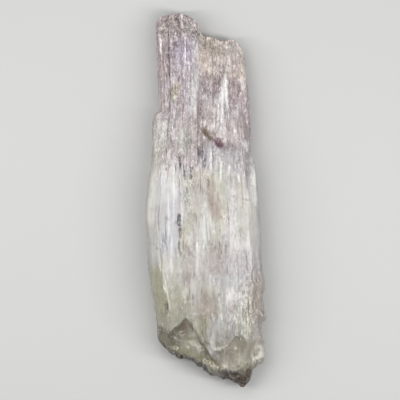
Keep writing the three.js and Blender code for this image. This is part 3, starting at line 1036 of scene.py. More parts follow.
class Zone(Enum):
    """The kinds of kunzite that the crystal has, from clear gem to milky, etched and iron-stained. Some are
    also laid on as painted glints, highlights and shade.
    """

    LILAC = Look("#bcaeae", 0.3, 0.24)
    DEEP_LILAC = Look("#a28f92", 0.5, 0.24)
    PERIWINKLE = Look("#b4abc2", 0.35, 0.22)
    PINK_GREY = Look("#b5a9a3", 0.42, 0.34)
    MILKY = Look("#bcbab3", 0.22, 0.42)
    BLUE_MILKY = Look("#bebfc6", 0.3, 0.34)
    # white silk of fine cleavage cracks, also laid on as painted glints, highlights and edge glow
    SILK_AND_GLINT = Look("#e4e2dd", 0.1, 0.36)
    CREAM = Look("#cfc3b7", 0.1, 0.36)
    TAN = Look("#9d8b7e", 0.12, 0.42)
    PALE_GREEN = Look("#b4b09c", 0.26, 0.3)
    YELLOW_GREEN = Look("#b1ae93", 0.4, 0.16)
    OLIVE = Look("#938c64", 0.35, 0.2)
    GREY_GREEN = Look("#989480", 0.5, 0.19)
    # clear kunzite, darkened as painted shade where it fills slots, pits and cracks
    WINDOW_AND_SHADE = Look("#86808a", 0.7, 0.1)
    BROWN = Look("#705e4c", 0.3, 0.26)
    PURPLE = Look("#65394a", 0.25, 0.26)
    # dark brown: iron stain, and painted shade in pits and along the rough rim
    DARK = Look("#3a2f24", 0.25, 0.14)


Layer = tuple[Zone, Array]  # a zone, and how far it covers each point


@dataclass(frozen=True)
class Ground:
    """What lies under the colours: each point's place, and the clouds and grain that fray their edges."""

    form: CrystalForm
    skin: Skin
    x: Array
    y: Array
    z: Array
    front: Array  # 1 on the front, 0 on the back
    around: Array  # place across the surface: x on the front and z on the sides
    warped: Array  # x with a waver
    shifted: Array  # y, moved for each lath, so that the laths' broken ends fringe the patches
    mottle: Array  # clouds about 5 mm across
    speck: Array  # grains about 1 mm across

    @classmethod
    def under(cls, form: CrystalForm, skin: Skin, fringe: float) -> "Ground":
        """Works out the ground of a skin.

        Args:
            form: The crystal's form, for its laths.
            skin: The crystal's surface.
            fringe: How far the laths' ends scatter, in mm.

        Returns:
            The ground.
        """
        x, y, z = np.moveaxis(skin.points, -1, 0)
        front = rise(*FACING, skin.up)
        around = mix(z, x, front)
        ends = form.fine.coarse.own(around, y, 7) + 0.6 * form.fine.slim.own(around, y, 7) - 0.8
        shifted = y + fringe * ends + 3.0 * (noise(x / 2.5, y / 3.0, 65.0) - 0.5)
        warped = x + 1.6 * (noise(x / 2.4, y / 11.0, 67.0) - 0.5)
        mottle, speck = clouds(x, y, z, 4.5, 5.5, 2.0), noise(x / 0.9, y, z + 7.0)
        return cls(form, skin, x, y, z, front, around, warped, shifted, mottle, speck)


@dataclass(frozen=True)
class Patch:
    """A patch of one zone on the front: its middle, half sizes, strength, slant in mm for each mm up, and
    the share of the half size over which it fades."""

    zone: Zone
    x: float
    y: float
    wide: float
    tall: float
    strength: float = 0.8
    slant: float = 0.0
    fade: float = 0.45

    def weight(self, x: Array, y: Array) -> Array:
        """How far the patch covers each place: all of it in the middle, fading out at its four edges.

        Args:
            x: Place across.
            y: Place along.

        Returns:
            The share, up to the patch's strength.
        """
        across = np.abs(x - self.x - self.slant * (y - self.y)) / self.wide
        up = np.abs(y - self.y) / self.tall
        low, high = 1.0 - self.fade, 1.0 + self.fade
        return self.strength * fall(low, high, across) * fall(low, high, up)


@dataclass(frozen=True)
class Seam:
    """A healed crack or growth line on the front: its zone, its run as (x, y), half width and strength."""

    zone: Zone
    run: Line
    thick: float
    strength: float

    def weight(self, x: Array, y: Array) -> Array:
        """How far the seam covers each place: a bell across the line, from its first to its last point.

        Args:
            x: Place across.
            y: Place along.

        Returns:
            The share, up to the seam's strength.
        """
        start, end = self.run[0][0], self.run[-1][0]
        lengthwise = between(start - 1.0, start + 1.0, end - 1.0, end + 1.0, x)
        return self.strength * bell(y - along(self.run, x), self.thick) * lengthwise


@dataclass(frozen=True)
class Spot:
    """A round spot: its middle, the radii between which it fades, how much shorter it is along the crystal
    than across, and how ragged its edge is in mm."""

    x: float
    y: float
    inner: float
    outer: float
    squash: float = 1.0
    ragged: float = 3.0

    def weight(self, x: Array, y: Array, field: Array) -> Array:
        """1 in the middle and 0 outside, by the distance from the middle, which a field makes uneven."""
        distance = np.hypot(x - self.x, self.squash * (y - self.y))
        return fall(self.inner, self.outer, distance + self.ragged * (field - 0.5))


@dataclass(frozen=True)
class Wedge:
    """The silky wedge below the etched crust: a point at its top that widens downwards and frays out."""

    x: float = 11.0
    top: float = 70.5
    lean: float = 0.1  # mm to the left for each mm down
    tip_half: float = 0.35
    widening: float = 0.13  # mm of half width for each mm down
    widens_for: float = 28.0

    def layers(self, ground: Ground) -> tuple[Layer, ...]:
        """A bluish ground and silk on it, in strands.

        Args:
            ground: What lies under the colours.

        Returns:
            The layers, from the lowest up.
        """
        x, y = ground.x, ground.shifted
        below = self.top - y
        half = np.clip(below, 0.0, self.widens_for) * self.widening + self.tip_half
        sides = fall(0.6, 1.25, np.abs(x - self.x + self.lean * below) / half)
        inside = sides * between(-1.0, 1.0, 22.0, 36.0, below)
        strands = rise(0.4, 0.62, noise(x / 1.1, y / 18.0, 29.0) + 0.3 * fall(2.0, 9.0, below))
        silk = mix(0.58, 0.4, rise(10.0, 26.0, below)) * strands
        return (Zone.BLUE_MILKY, 0.4 * inside), (Zone.SILK_AND_GLINT, silk * inside)


@dataclass(frozen=True)
class BreakColours:
    """The colours of the sloping break at the base, from its two steps down to the rough rim, whose stain
    is darkened further by painted shade.
    """

    heart: Spot = Spot(-7, -77, 4, 8, 0.5, 0)  # the scar's clouded middle
    apex: Spot = Spot(-10.5, -69, 2, 7.5, 0.7, 7)  # the scar's brown top
    stain: Spot = Spot(5, -91, 2.5, 5.5, 1.1)  # brown, at the scar's right end
    lump: Spot = Spot(30, -86, 3, 5.5, 0.7)  # white, at the shelf's right end
    point: Spot = Spot(22.5, -99.5, 3, 6.5)  # dark, at the lowest part of the rim
    glass: Spot = Spot(21.5, -93, 1.5, 4.5, 1.2)  # pale green, just above it

    def scar(self, ground: Ground) -> tuple[Layer, ...]:
        """The glassy scar on the left: its clouded heart, brown apex, dark corner, white specks that are
        partly painted glints, and a brown line at the foot of its step, partly stain and partly painted
        shade.

        Args:
            ground: What lies under the colours.

        Returns:
            The layers, from the lowest up.
        """
        x, y, front, mottle, speck = ground.x, ground.y, ground.front, ground.mottle, ground.speck
        below = ground.form.forms.below_scar(x, y)
        inside = rise(-0.2, 0.8, below) * fall(4.0, 9.0, x) * front
        heart = inside * self.heart.weight(x, y, mottle)
        foot = inside * rise(0.9, 2.2, below)
        corner = foot * fall(-19.0, -13.0, x + 8.0 * (mottle - 0.5))
        # brown along the foot of the step: partly stain, partly painted shade
        foot_stain_and_shade = bell(below - 1.8, 1.0) * between(-12.0, -8.0, 3.0, 7.0, x) * front
        return (
            (Zone.GREY_GREEN, 0.9 * inside),
            (Zone.PALE_GREEN, 0.75 * heart),
            (Zone.SILK_AND_GLINT, 0.05 * heart),
            (Zone.MILKY, 0.35 * inside * rise(0.5, 0.66, mottle)),
            (Zone.BROWN, 0.75 * foot * self.apex.weight(x, y, mottle)),
            (Zone.DARK, 0.42 * corner),
            (Zone.DARK, 0.45 * corner * rise(0.42, 0.6, mottle + 0.5 * (speck - 0.5))),
            # white specks, partly painted glints, most of them in the dark corner
            (Zone.SILK_AND_GLINT, (0.25 + 0.2 * corner) * inside * rise(0.8, 0.92, speck)),
            (Zone.BROWN, 0.85 * foot_stain_and_shade * rise(0.3, 0.55, noise(x / 2.6, y / 2.2, 97.0))),
            (Zone.BROWN, 0.35 * front * self.stain.weight(x, y, mottle)),
        )

    @staticmethod
    def lobe(ground: Ground) -> tuple[Layer, ...]:
        """The lobe: the smooth brownish green glass under its right half, and a painted highlight along its
        rim.

        Args:
            ground: What lies under the colours.

        Returns:
            The layers, from the lowest up.
        """
        x, y = ground.x, ground.y
        below = ground.form.forms.below_lobe(x, y)
        right = rise(0.0, 3.5, below) * between(8.0, 14.0, 26.0, 30.0, x) * ground.front
        rim = bell(below + 0.5, 0.9) * between(1.5, 4.5, 9.0, 15.0, x)
        return (
            (Zone.GREY_GREEN, 0.45 * right * fall(8.0, 14.0, below)),
            (Zone.OLIVE, 0.2 * right),
            (Zone.TAN, 0.25 * right * rise(0.4, 0.6, ground.mottle)),
            # painted highlight: the bright glow along the lobe's rim
            (Zone.SILK_AND_GLINT, 0.65 * rim * rise(0.35, 0.6, noise(x / 1.6, y / 1.3, 19.0))),
        )

    def rim(self, ground: Ground) -> tuple[Layer, ...]:
        """The shelf just above the rough rim, olive and pale green, the white lump at its right end, and the
        rim itself: brown and dark, partly iron stain and partly painted shade, but clear at the left corner,
        with tan flecks and a dark point.

        Args:
            ground: What lies under the colours.

        Returns:
            The layers, from the lowest up.
        """
        x, y, z, front = ground.x, ground.y, ground.z, ground.front
        mottle, speck, to_base = ground.mottle, ground.speck, ground.skin.to_base
        rough = along(ground.form.section.rough_break, x)
        shelf = bell(to_base - rough - 2.5, 2.65) * front
        right_shelf = shelf * rise(6.0, 12.0, x)
        lump = self.lump.weight(x, y, mottle)
        rim = fall(0.75, 1.1, to_base / rough + 1.6 * (mottle - 0.5))
        stained = rim * (1.0 - 0.95 * rise(24.5, 27.0, x)) * mix(0.25, 1.0, rise(-20.0, -14.0, x))
        fresh = fall(-1.5, 0.5, to_base) * rise(0.36, 0.5, clouds(x, y, z, 7.0, 7.0, 91.0))
        fleck = rise(0.66, 0.8, speck) + 0.8 * fall(0.16, 0.3, noise(x / 2.0, y / 1.5, z / 2.0 + 31.0))
        return (
            (Zone.OLIVE, 0.5 * shelf * between(-24.0, -12.0, 4.0, 12.0, x)),
            (Zone.YELLOW_GREEN, 0.5 * right_shelf),
            (Zone.CREAM, 0.5 * right_shelf * rise(0.35, 0.6, noise(x / 1.1, y / 4.5, 23.0))),
            (Zone.PALE_GREEN, 0.35 * lump),
            (Zone.SILK_AND_GLINT, lump * mix(0.05, 0.5, rise(0.4, 0.6, noise(x / 1.6, y / 2.4, z / 1.6)))),
            # iron stain with painted shade: brown and dark along the rough rim
            (Zone.BROWN, 0.9 * stained),
            (Zone.DARK, stained * rise(0.24, 0.46, clouds(x, y, z, 3.2, 2.6, 71.0))),
            (Zone.CREAM, 0.3 * rim * bell(x - 6.0, 3.5) * rise(0.4, 0.6, mottle)),
            (Zone.GREY_GREEN, 0.75 * fresh),
            (Zone.TAN, 0.55 * rim * np.clip(fleck, 0.0, 1.0)),
            (Zone.DARK, 0.5 * self.point.weight(x, y, mottle)),
            (Zone.PALE_GREEN, 0.65 * front * self.glass.weight(x, y, speck)),
        )


@dataclass(frozen=True)
class ColourZones:
    """The crystal's colour and clearness over its surface: bands along its length, and over them layers of
    clouds, patches, crust, streaks, stains, painted glints, light and shade, and the tones of the laths."""

    bands: tuple[tuple[float, Zone], ...] = (
        (-105, Zone.GREY_GREEN), (-84, Zone.GREY_GREEN), (-70, Zone.PALE_GREEN), (-56, Zone.PALE_GREEN),
        (-44, Zone.MILKY), (4, Zone.MILKY), (24, Zone.LILAC), (105, Zone.LILAC),
    )
    patches: tuple[Patch, ...] = (
        Patch(Zone.PERIWINKLE, -11.6, 82, 5.6, 9, 0.6, 0.0, 0.6),
        Patch(Zone.PERIWINKLE, -10.5, 62, 2.5, 9, 0.3, 0.0, 0.6),
        Patch(Zone.PERIWINKLE, -17, 84, 4, 7, 0.35, 0.0, 0.6),
        Patch(Zone.DEEP_LILAC, -23, 72, 3.5, 13, 0.4),
        Patch(Zone.DEEP_LILAC, -21.5, 83, 4, 7, 0.35),
        Patch(Zone.DEEP_LILAC, -16, 68, 2.8, 12, 0.4, 0.0, 0.6),
        Patch(Zone.DEEP_LILAC, -17, 87.3, 1.6, 2.2, 0.7),
        Patch(Zone.DEEP_LILAC, -21.6, 82, 1.6, 2.2, 0.7),
        Patch(Zone.DEEP_LILAC, -15.7, 101.3, 2.0, 2.0, 0.8),
        Patch(Zone.OLIVE, -16.7, 60.3, 2.2, 4.2, 0.65, 0.35, 0.7),
        Patch(Zone.BLUE_MILKY, -5.5, 57, 2.4, 12, 0.35),
        Patch(Zone.MILKY, -6.2, 56, 1.8, 11, 0.5),
        Patch(Zone.SILK_AND_GLINT, -6.2, 55, 1.2, 9, 0.25),
        Patch(Zone.BLUE_MILKY, -9.5, 50, 1.5, 6, 0.5),
        Patch(Zone.DEEP_LILAC, -13, 50, 3.5, 5, 0.35),
        Patch(Zone.DEEP_LILAC, 3.5, 64, 5.5, 5, 0.65),
        Patch(Zone.DEEP_LILAC, 16.3, 60, 3, 9, 0.6),
        Patch(Zone.PINK_GREY, 2, 52, 3, 8, 0.4),
        Patch(Zone.DEEP_LILAC, 22.8, 45, 2.4, 13, 0.5, -0.03),
        Patch(Zone.SILK_AND_GLINT, 21.3, 71, 1.5, 6, 0.35, -0.05),
        Patch(Zone.DEEP_LILAC, -7, 44, 6, 3, 0.45),
        Patch(Zone.CREAM, 12, 36.5, 8, 3, 0.2),
        Patch(Zone.MILKY, -25.3, 34.5, 4.6, 10.5, 0.7),
        Patch(Zone.SILK_AND_GLINT, -25.5, 36, 4.2, 8, 0.2),
        Patch(Zone.PINK_GREY, -5.5, 36, 7, 7, 0.5),
        Patch(Zone.MILKY, -12.5, 34, 4, 8, 0.7),
        # painted light: the soft glow along the left edge
        Patch(Zone.SILK_AND_GLINT, -27.5, 18.5, 2.4, 6, 0.6),
        Patch(Zone.MILKY, -27, 24, 4.2, 7, 0.6),
        Patch(Zone.PALE_GREEN, -26.5, 24, 4, 6, 0.25),
        Patch(Zone.LILAC, -21.5, 23.5, 2.4, 3.5, 0.3),
        Patch(Zone.SILK_AND_GLINT, -14, 9.5, 2, 4, 0.35),
        Patch(Zone.PINK_GREY, -22.5, 16, 2.8, 3.5, 0.45),
        # painted shade in the slots that hollows cut here
        Patch(Zone.WINDOW_AND_SHADE, -3.2, 27, 1.2, 4, 0.5),
        Patch(Zone.WINDOW_AND_SHADE, -0.6, 23, 0.8, 4, 0.35),
        Patch(Zone.BLUE_MILKY, 3.5, 23, 4, 9, 0.5),
        Patch(Zone.BLUE_MILKY, 15, 20, 8, 9, 0.45),
        # painted shade in the slot that a hollow cuts here
        Patch(Zone.WINDOW_AND_SHADE, 23.7, 19.5, 1.3, 5.5, 0.4),
        Patch(Zone.PINK_GREY, 22.8, 21, 2.4, 6, 0.4),
        # painted highlight: glints along the right edge
        Patch(Zone.SILK_AND_GLINT, 27.8, 8, 2.4, 9, 0.95),
        Patch(Zone.YELLOW_GREEN, -14, 12, 5, 6, 0.4),
        Patch(Zone.CREAM, -1, 14, 5, 4, 0.45),
        Patch(Zone.YELLOW_GREEN, 1, 12.5, 9, 4.5, 0.25),
        # painted light: the soft glow along the left edge
        Patch(Zone.SILK_AND_GLINT, -26, 4, 3.2, 6, 0.6),
        Patch(Zone.YELLOW_GREEN, -9, 0, 3, 14, 0.45),
        Patch(Zone.MILKY, -27.5, 2, 4.5, 18, 0.7),
        # painted light: the soft glow along the left edge
        Patch(Zone.SILK_AND_GLINT, -30.5, -1, 2.6, 13, 0.35),
        Patch(Zone.BLUE_MILKY, -20, -14, 4, 17, 0.8),
        Patch(Zone.BLUE_MILKY, -15.8, 4, 1.8, 15, 0.6),
        Patch(Zone.BLUE_MILKY, -25.5, -7, 3, 6, 0.6),
        Patch(Zone.PINK_GREY, -24.8, -7, 3, 5, 0.35),
        Patch(Zone.SILK_AND_GLINT, -20.5, 9, 5.5, 8, 0.45),
        Patch(Zone.BLUE_MILKY, -23, 7, 3, 8, 0.35),
        Patch(Zone.PINK_GREY, -4, 3, 3, 9, 0.6),
        Patch(Zone.PINK_GREY, -5, -14, 2.2, 10, 0.35),
        Patch(Zone.PINK_GREY, -1.5, -42, 3, 11, 0.55),
        # painted shade in the slots that hollows cut here
        Patch(Zone.WINDOW_AND_SHADE, -14.4, -11, 1.0, 5, 0.75),
        Patch(Zone.WINDOW_AND_SHADE, -14.4, -21.5, 0.8, 5.5, 0.45),
        Patch(Zone.TAN, 4.6, -1, 3.6, 8, 0.85, -0.2, 0.7),
        Patch(Zone.BROWN, 4.2, -2, 2.6, 7, 0.3, -0.2, 0.8),
        Patch(Zone.YELLOW_GREEN, 9.4, -9, 1.6, 7, 0.45),
        Patch(Zone.CREAM, 11.5, -11, 2.6, 7, 0.4),
        Patch(Zone.PALE_GREEN, 11.4, 3, 2.6, 8, 0.5),
        Patch(Zone.SILK_AND_GLINT, 16, -20.5, 3, 7, 0.35),
        Patch(Zone.CREAM, 25, -25, 3, 8, 0.35),
        Patch(Zone.PALE_GREEN, -19, -44, 4, 10, 0.35),
        Patch(Zone.PINK_GREY, 7.1, -33, 5, 10, 0.8, 0.0, 0.25),
        Patch(Zone.PINK_GREY, -9.5, -36, 4, 9, 0.65, 0.0, 0.3),
        Patch(Zone.MILKY, -28, -22, 3.5, 10, 0.7),
        Patch(Zone.PINK_GREY, 19, -35.5, 6, 5, 0.45),
        Patch(Zone.PINK_GREY, 25, -47, 3, 5, 0.55),
        Patch(Zone.MILKY, 29, 0, 3, 22, 0.7),
        Patch(Zone.BLUE_MILKY, 14.5, -50, 8, 8.5, 0.4),
        Patch(Zone.SILK_AND_GLINT, 17.5, -51, 5, 6, 0.25),
        Patch(Zone.MILKY, -2, -48, 4, 5, 0.35),
        Patch(Zone.YELLOW_GREEN, -12, -58.2, 3, 5.5, 0.4),
        Patch(Zone.SILK_AND_GLINT, -11.3, -53.5, 1.3, 2.0, 0.5),
        Patch(Zone.SILK_AND_GLINT, 15, -53, 3, 4, 0.4),
        Patch(Zone.GREY_GREEN, 25, -58, 4, 11, 0.35),
        Patch(Zone.GREY_GREEN, -24.8, -57.5, 3, 6, 0.55),
        Patch(Zone.GREY_GREEN, 1.5, -60, 5, 6, 0.35),
        Patch(Zone.YELLOW_GREEN, -27.2, -52.5, 5.2, 17, 0.9, -0.1),
        Patch(Zone.GREY_GREEN, -20, -47, 4, 7, 0.2),
        Patch(Zone.PINK_GREY, 1, -58, 6, 5, 0.6),
        Patch(Zone.TAN, 0, -63.5, 5.5, 5.5, 0.45, 0.0, 0.6),
        Patch(Zone.GREY_GREEN, -1.5, -71, 2.6, 6, 0.45, -0.4),
        Patch(Zone.GREY_GREEN, -19, -67, 7, 4, 0.35),
        Patch(Zone.MILKY, -17.5, -38, 5, 11, 0.4),
        # painted shade in the pit that a hollow cuts here
        Patch(Zone.DARK, -21.4, -59.5, 0.9, 2.2, 0.5, -0.15),
        Patch(Zone.PINK_GREY, 30, -55, 5, 24, 0.6),
        Patch(Zone.BROWN, 30, -60, 3.5, 10, 0.2),
        Patch(Zone.GREY_GREEN, 22.5, -58, 3, 7, 0.35),
        Patch(Zone.SILK_AND_GLINT, 24, -68, 3.5, 5, 0.15),
        Patch(Zone.BLUE_MILKY, 7.4, -71, 5, 8, 0.35),
        Patch(Zone.CREAM, 18, 3, 5, 9, 0.25),
        Patch(Zone.CREAM, 16.5, -25, 4, 6, 0.3),
        Patch(Zone.GREY_GREEN, 10.5, -78, 3.5, 3, 0.3),
        Patch(Zone.SILK_AND_GLINT, 4.6, -77.5, 1.3, 4.5, 0.3),
    )
    lines: tuple[Patch, ...] = (
        Patch(Zone.SILK_AND_GLINT, -11.3, 80.5, 0.4, 9.5, 0.95),
        Patch(Zone.SILK_AND_GLINT, -13, 101, 0.45, 3.6, 0.9),
        # painted glints: short bright dashes of reflected light
        Patch(Zone.SILK_AND_GLINT, -24.8, 86.5, 0.5, 3.4, 0.9),
        Patch(Zone.SILK_AND_GLINT, -9, 70, 0.35, 7, 0.6),
        Patch(Zone.SILK_AND_GLINT, -17.5, 62, 0.35, 5, 0.5),
        # painted glints: two short bright dashes of reflected light
        Patch(Zone.SILK_AND_GLINT, -2.4, 43.3, 0.5, 1.6, 0.95),
        Patch(Zone.SILK_AND_GLINT, -0.1, 43.1, 0.5, 1.6, 0.95),
        Patch(Zone.SILK_AND_GLINT, 11.4, 62, 0.45, 9, 0.9, -0.03),
        Patch(Zone.SILK_AND_GLINT, 9.6, 53, 0.4, 11, 0.7, 0.05),
        Patch(Zone.SILK_AND_GLINT, 7.2, 50, 0.4, 8, 0.6, 0.06),
        Patch(Zone.SILK_AND_GLINT, 12.6, 54, 0.4, 10, 0.7, -0.06),
        Patch(Zone.SILK_AND_GLINT, 5, 45.5, 0.4, 6, 0.5),
        # painted glints along a glassy strip beside the slots
        Patch(Zone.SILK_AND_GLINT, 3.2, 23, 0.45, 6, 0.85),
        Patch(Zone.SILK_AND_GLINT, 8.5, 16.1, 0.55, 5, 0.95),
        Patch(Zone.SILK_AND_GLINT, 13.3, 16.4, 0.5, 2.2, 0.9),
        Patch(Zone.SILK_AND_GLINT, 18.6, 12.4, 0.5, 2.2, 0.9),
        Patch(Zone.SILK_AND_GLINT, 25.2, 46, 0.45, 18, 0.7, -0.04),
        # painted highlight: glints along the right edge
        Patch(Zone.SILK_AND_GLINT, 27.6, 7.5, 0.8, 9.5, 0.95, -0.08),
        # painted shade in the slots that hollows cut here
        Patch(Zone.WINDOW_AND_SHADE, -14.3, 21, 0.35, 4, 0.5),
        Patch(Zone.WINDOW_AND_SHADE, -11.9, 16.6, 0.35, 3.4, 0.7, -0.1),
        Patch(Zone.DARK, -7, -56, 0.35, 3.5, 0.45),
        # painted shade in a slot and a pit that hollows cut here
        Patch(Zone.WINDOW_AND_SHADE, -7.9, 14.8, 0.4, 4, 0.6, -0.08),
        Patch(Zone.DARK, -6.9, 18.3, 0.45, 0.8, 0.6),
        Patch(Zone.WINDOW_AND_SHADE, -16.5, 17, 0.3, 2.5, 0.5),
        # painted light over the shade of a rib's riser
        Patch(Zone.SILK_AND_GLINT, -13, 32, 0.7, 7, 0.5),
        # painted shade in the slot that a hollow cuts here
        Patch(Zone.WINDOW_AND_SHADE, 1.6, 10, 0.4, 2.5, 0.45, -0.6),
        Patch(Zone.LILAC, -3, 87, 2.4, 4, 0.5),
        Patch(Zone.SILK_AND_GLINT, -3, 87, 2.4, 4, 0.4),
        Patch(Zone.CREAM, -2.5, 80, 2, 6, 0.4),
        Patch(Zone.SILK_AND_GLINT, -5.8, 79, 1.6, 7, 0.3),
        # paler pinkish grey, partly its own colour and partly painted light over the shade of the etched
        # pits
        Patch(Zone.LILAC, -8.5, 97, 3.6, 5, 0.5),
        Patch(Zone.SILK_AND_GLINT, -8, 97.5, 3.4, 5, 0.3),
        Patch(Zone.LILAC, 15, 84.5, 3.5, 5, 0.4),
        Patch(Zone.SILK_AND_GLINT, 15, 84.5, 3.5, 5, 0.3),
        Patch(Zone.CREAM, 6, 84.5, 3.4, 3.5, 0.45),
        Patch(Zone.CREAM, 1.5, 88.5, 3.5, 2.5, 0.45),
        Patch(Zone.TAN, 1, 80.5, 4, 4, 0.4),
        Patch(Zone.SILK_AND_GLINT, 17.8, 48, 1.2, 5, 0.3),
        Patch(Zone.SILK_AND_GLINT, -4.6, 67, 1.4, 4.5, 0.3),
        Patch(Zone.SILK_AND_GLINT, 1, 47.5, 1.6, 5, 0.25),
        Patch(Zone.SILK_AND_GLINT, 0, -14, 1.4, 14, 0.3),
        Patch(Zone.OLIVE, -16.9, 60.5, 1.5, 4, 0.4, 0.35, 0.7),
        # painted light over the shade beside the notch in the right edge
        Patch(Zone.SILK_AND_GLINT, 23.2, 29.5, 2.4, 3, 0.6),
        Patch(Zone.PINK_GREY, 1.5, 69.5, 3, 3.5, 0.5),
        Patch(Zone.PINK_GREY, 8.5, 73.5, 4, 4, 0.45),
        Patch(Zone.PINK_GREY, -6.6, -26, 0.4, 12, 0.7),
        Patch(Zone.PINK_GREY, 13.2, -20, 0.4, 14, 0.6),
        Patch(Zone.SILK_AND_GLINT, -21.6, -49, 0.45, 11, 0.6, -0.18),
        Patch(Zone.SILK_AND_GLINT, -4.5, -30, 0.35, 10, 0.6),
        Patch(Zone.SILK_AND_GLINT, -20.4, -8, 0.5, 12, 0.6),
        Patch(Zone.SILK_AND_GLINT, -17.5, -2, 0.4, 14, 0.55),
        Patch(Zone.SILK_AND_GLINT, -18.8, -30, 0.5, 9, 0.6),
        Patch(Zone.MILKY, -23.4, -5, 0.9, 10, 0.45),
        Patch(Zone.WINDOW_AND_SHADE, -22.2, -16, 0.3, 7, 0.4),
    )
    seams: tuple[Seam, ...] = (
        Seam(Zone.CREAM, ((-26.6, 96.6), (-20, 96), (-12, 96.4), (-5, 95.4)), 0.5, 0.8),
        Seam(Zone.DEEP_LILAC, ((-26.6, 94.4), (-18, 94), (-4, 94.2)), 0.8, 0.6),
        Seam(Zone.CREAM, ((-26.6, 92.4), (-19, 91.8), (-11, 92.3), (-3, 91.6)), 0.5, 0.7),
        Seam(Zone.DEEP_LILAC, ((14.5, 2.4), (19.2, 1.4), (22.8, 0.2), (29.9, -0.6)), 0.35, 0.6),
        Seam(Zone.PINK_GREY, ((15, -27.5), (22, -28.6), (32, -27.4)), 0.4, 0.5),
        Seam(Zone.SILK_AND_GLINT, ((-10.8, -65.5), (-8, -63.6), (-0.5, -62.4), (4.6, -59.5), (8, -57)), 0.5, 0.25),
    )
    shade: Line = ((-80, 0.07), (-40, 0.1), (5, 0.09), (32, 0))  # how much darker the lower block is
    fringe: float = 5.0  # mm by which the laths' broken ends fringe every patch
    blocks: Laths = Laths(6.2, 14, 36, 0.0, 0.0, 80)  # the broad laths that clouds fill
    wedge: Wedge = Wedge()
    broken: BreakColours = BreakColours()

    def base(self, y: Array) -> Array:
        """The bands' colour, clearness and roughness, which run straight from band to band.

        Args:
            y: Place along.

        Returns:
            The five channels at each point.
        """
        heights = [height for height, _ in self.bands]
        looks = np.transpose([zone.value.channels() for _, zone in self.bands])
        return np.stack([np.interp(y, heights, values) for values in looks], axis=-1)

    def drift(self, ground: Ground) -> Iterator[Layer]:
        """Clouds of milky, pink, green and bluish kunzite on all sides of the crystal. In the lower block
        they fill whole lengths of broad laths.

        Args:
            ground: What lies under the colours.

        Yields:
            The layers, from the lowest up.
        """
        x, y, z = ground.x, ground.shifted, ground.z
        lower = fall(16.0, 44.0, y)
        fields = (
            (Zone.PINK_GREY, clouds(x, y, z, 6.0, 14.0, 6.0), 0.4, 0.85),
            (Zone.PALE_GREEN, clouds(x, y, z, 5.5, 16.0, 9.0), 0.35 * lower, 0.8),
            (Zone.BLUE_MILKY, clouds(x, y, z, 5.0, 12.0, 13.0), 0.35, 0.75 * rise(-50.0, -35.0, y)),
            (Zone.SILK_AND_GLINT, clouds(x, y, z, 3.2, 8.0, 3.0), 0.3, 0.2),
            (Zone.DEEP_LILAC, clouds(x, y, z, 3.0, 7.0, 33.0), 0.25 * (1.0 - lower), 0.0),
        )
        for number, (zone, field, strength, share) in enumerate(fields):
            block = share * lower * rise(0.66, 0.74, self.blocks.own(ground.around, y, number))
            yield zone, np.maximum(strength * rise(0.5, 0.68, field), block)

    @staticmethod
    def crust(ground: Ground) -> tuple[Layer, ...]:
        """The etched skin at the tip: mottled tan, cream and pink lumps on the right block, and greyish
        lilac ones with pale grain on the left block.

        Args:
            ground: What lies under the colours.

        Returns:
            The layers, from the lowest up.
        """
        x, y, z = ground.x, ground.y, ground.z
        coarse = clouds(x, y, z, 4.0, 4.6, 21.0)
        grain = noise(x / 1.2, y / 1.5, z / 1.5 + 3.0)
        right = rise(-5.0, -1.0, x) * fall(-1.0, 1.5, ground.form.forms.below_crust(x, y))
        stained = right * fall(9.0, 15.0, x)
        left = rise(88.0, 94.0, y) * fall(-6.0, -3.0, x)
        return (
            (Zone.CREAM, 0.5 * right),
            (Zone.TAN, (0.3 * right + 0.4 * stained) * rise(0.42, 0.62, coarse)),
            (Zone.BROWN, 0.4 * stained * rise(0.56, 0.7, coarse + 0.2 * (grain - 0.5))),
            (Zone.LILAC, 0.5 * right * rise(0.5, 0.7, clouds(x, y, z, 4.0, 5.0, 61.0))),
            (Zone.DEEP_LILAC, 0.4 * left * rise(0.4, 0.62, coarse)),
            (Zone.CREAM, (0.4 * left + 0.36 * right) * fall(0.22, 0.42, grain)),
        )

    @staticmethod
    def crevice(ground: Ground) -> tuple[Layer, ...]:
        """The colours in the crevice: brown at its left end, purple in the middle, faint lilac to the right.

        Args:
            ground: What lies under the colours.

        Returns:
            The layers, from the lowest up.
        """
        x, y, front = ground.x, ground.y, ground.front
        above = ground.form.forms.above_crevice(x, y)
        blotch = noise(x / 2.6, y / 2.2, 8.1)
        inside = front * between(-3.4, -1.0, 0.4, 3.6, above) * rise(0.1, 0.35, blotch)
        distance = np.hypot(x - 7.2, 1.1 * (y - 32.0) + 0.5 * (x - 7.2)) + 2.0 * (blotch - 0.5)
        return (
            (Zone.BROWN, 0.9 * inside * between(-4.0, -0.5, 2.5, 5.5, x)),
            (Zone.DEEP_LILAC, 0.4 * inside * rise(8.0, 12.0, x) * (1.0 - 0.7 * rise(16.0, 21.0, x))),
            (Zone.PURPLE, 0.9 * front * fall(1.2, 4.4, distance)),
        )

    def layers(self, ground: Ground) -> Iterator[Layer]:
        """All layers over the bands. Patches follow the laths' broken ends all the way, lines less so.

        Args:
            ground: What lies under the colours.

        Yields:
            The layers, from the lowest up.
        """
        x, y, front = ground.x, ground.y, ground.front
        yield from self.drift(ground)
        for patch in self.patches:
            yield patch.zone, patch.weight(ground.warped, ground.shifted) * front
        yield from self.wedge.layers(ground)
        yield from self.crust(ground)
        for line in self.lines:
            yield line.zone, line.weight(x, mix(y, ground.shifted, 0.3)) * front
        gaps = rise(0.25, 0.45, noise(x / 2.0, 7.7, y / 30.0))
        for seam in self.seams:
            yield seam.zone, seam.weight(x, mix(y, ground.shifted, 0.12)) * front * gaps
        yield from self.crevice(ground)
        for part in (self.broken.scar, self.broken.lobe, self.broken.rim):
            yield from part(ground)

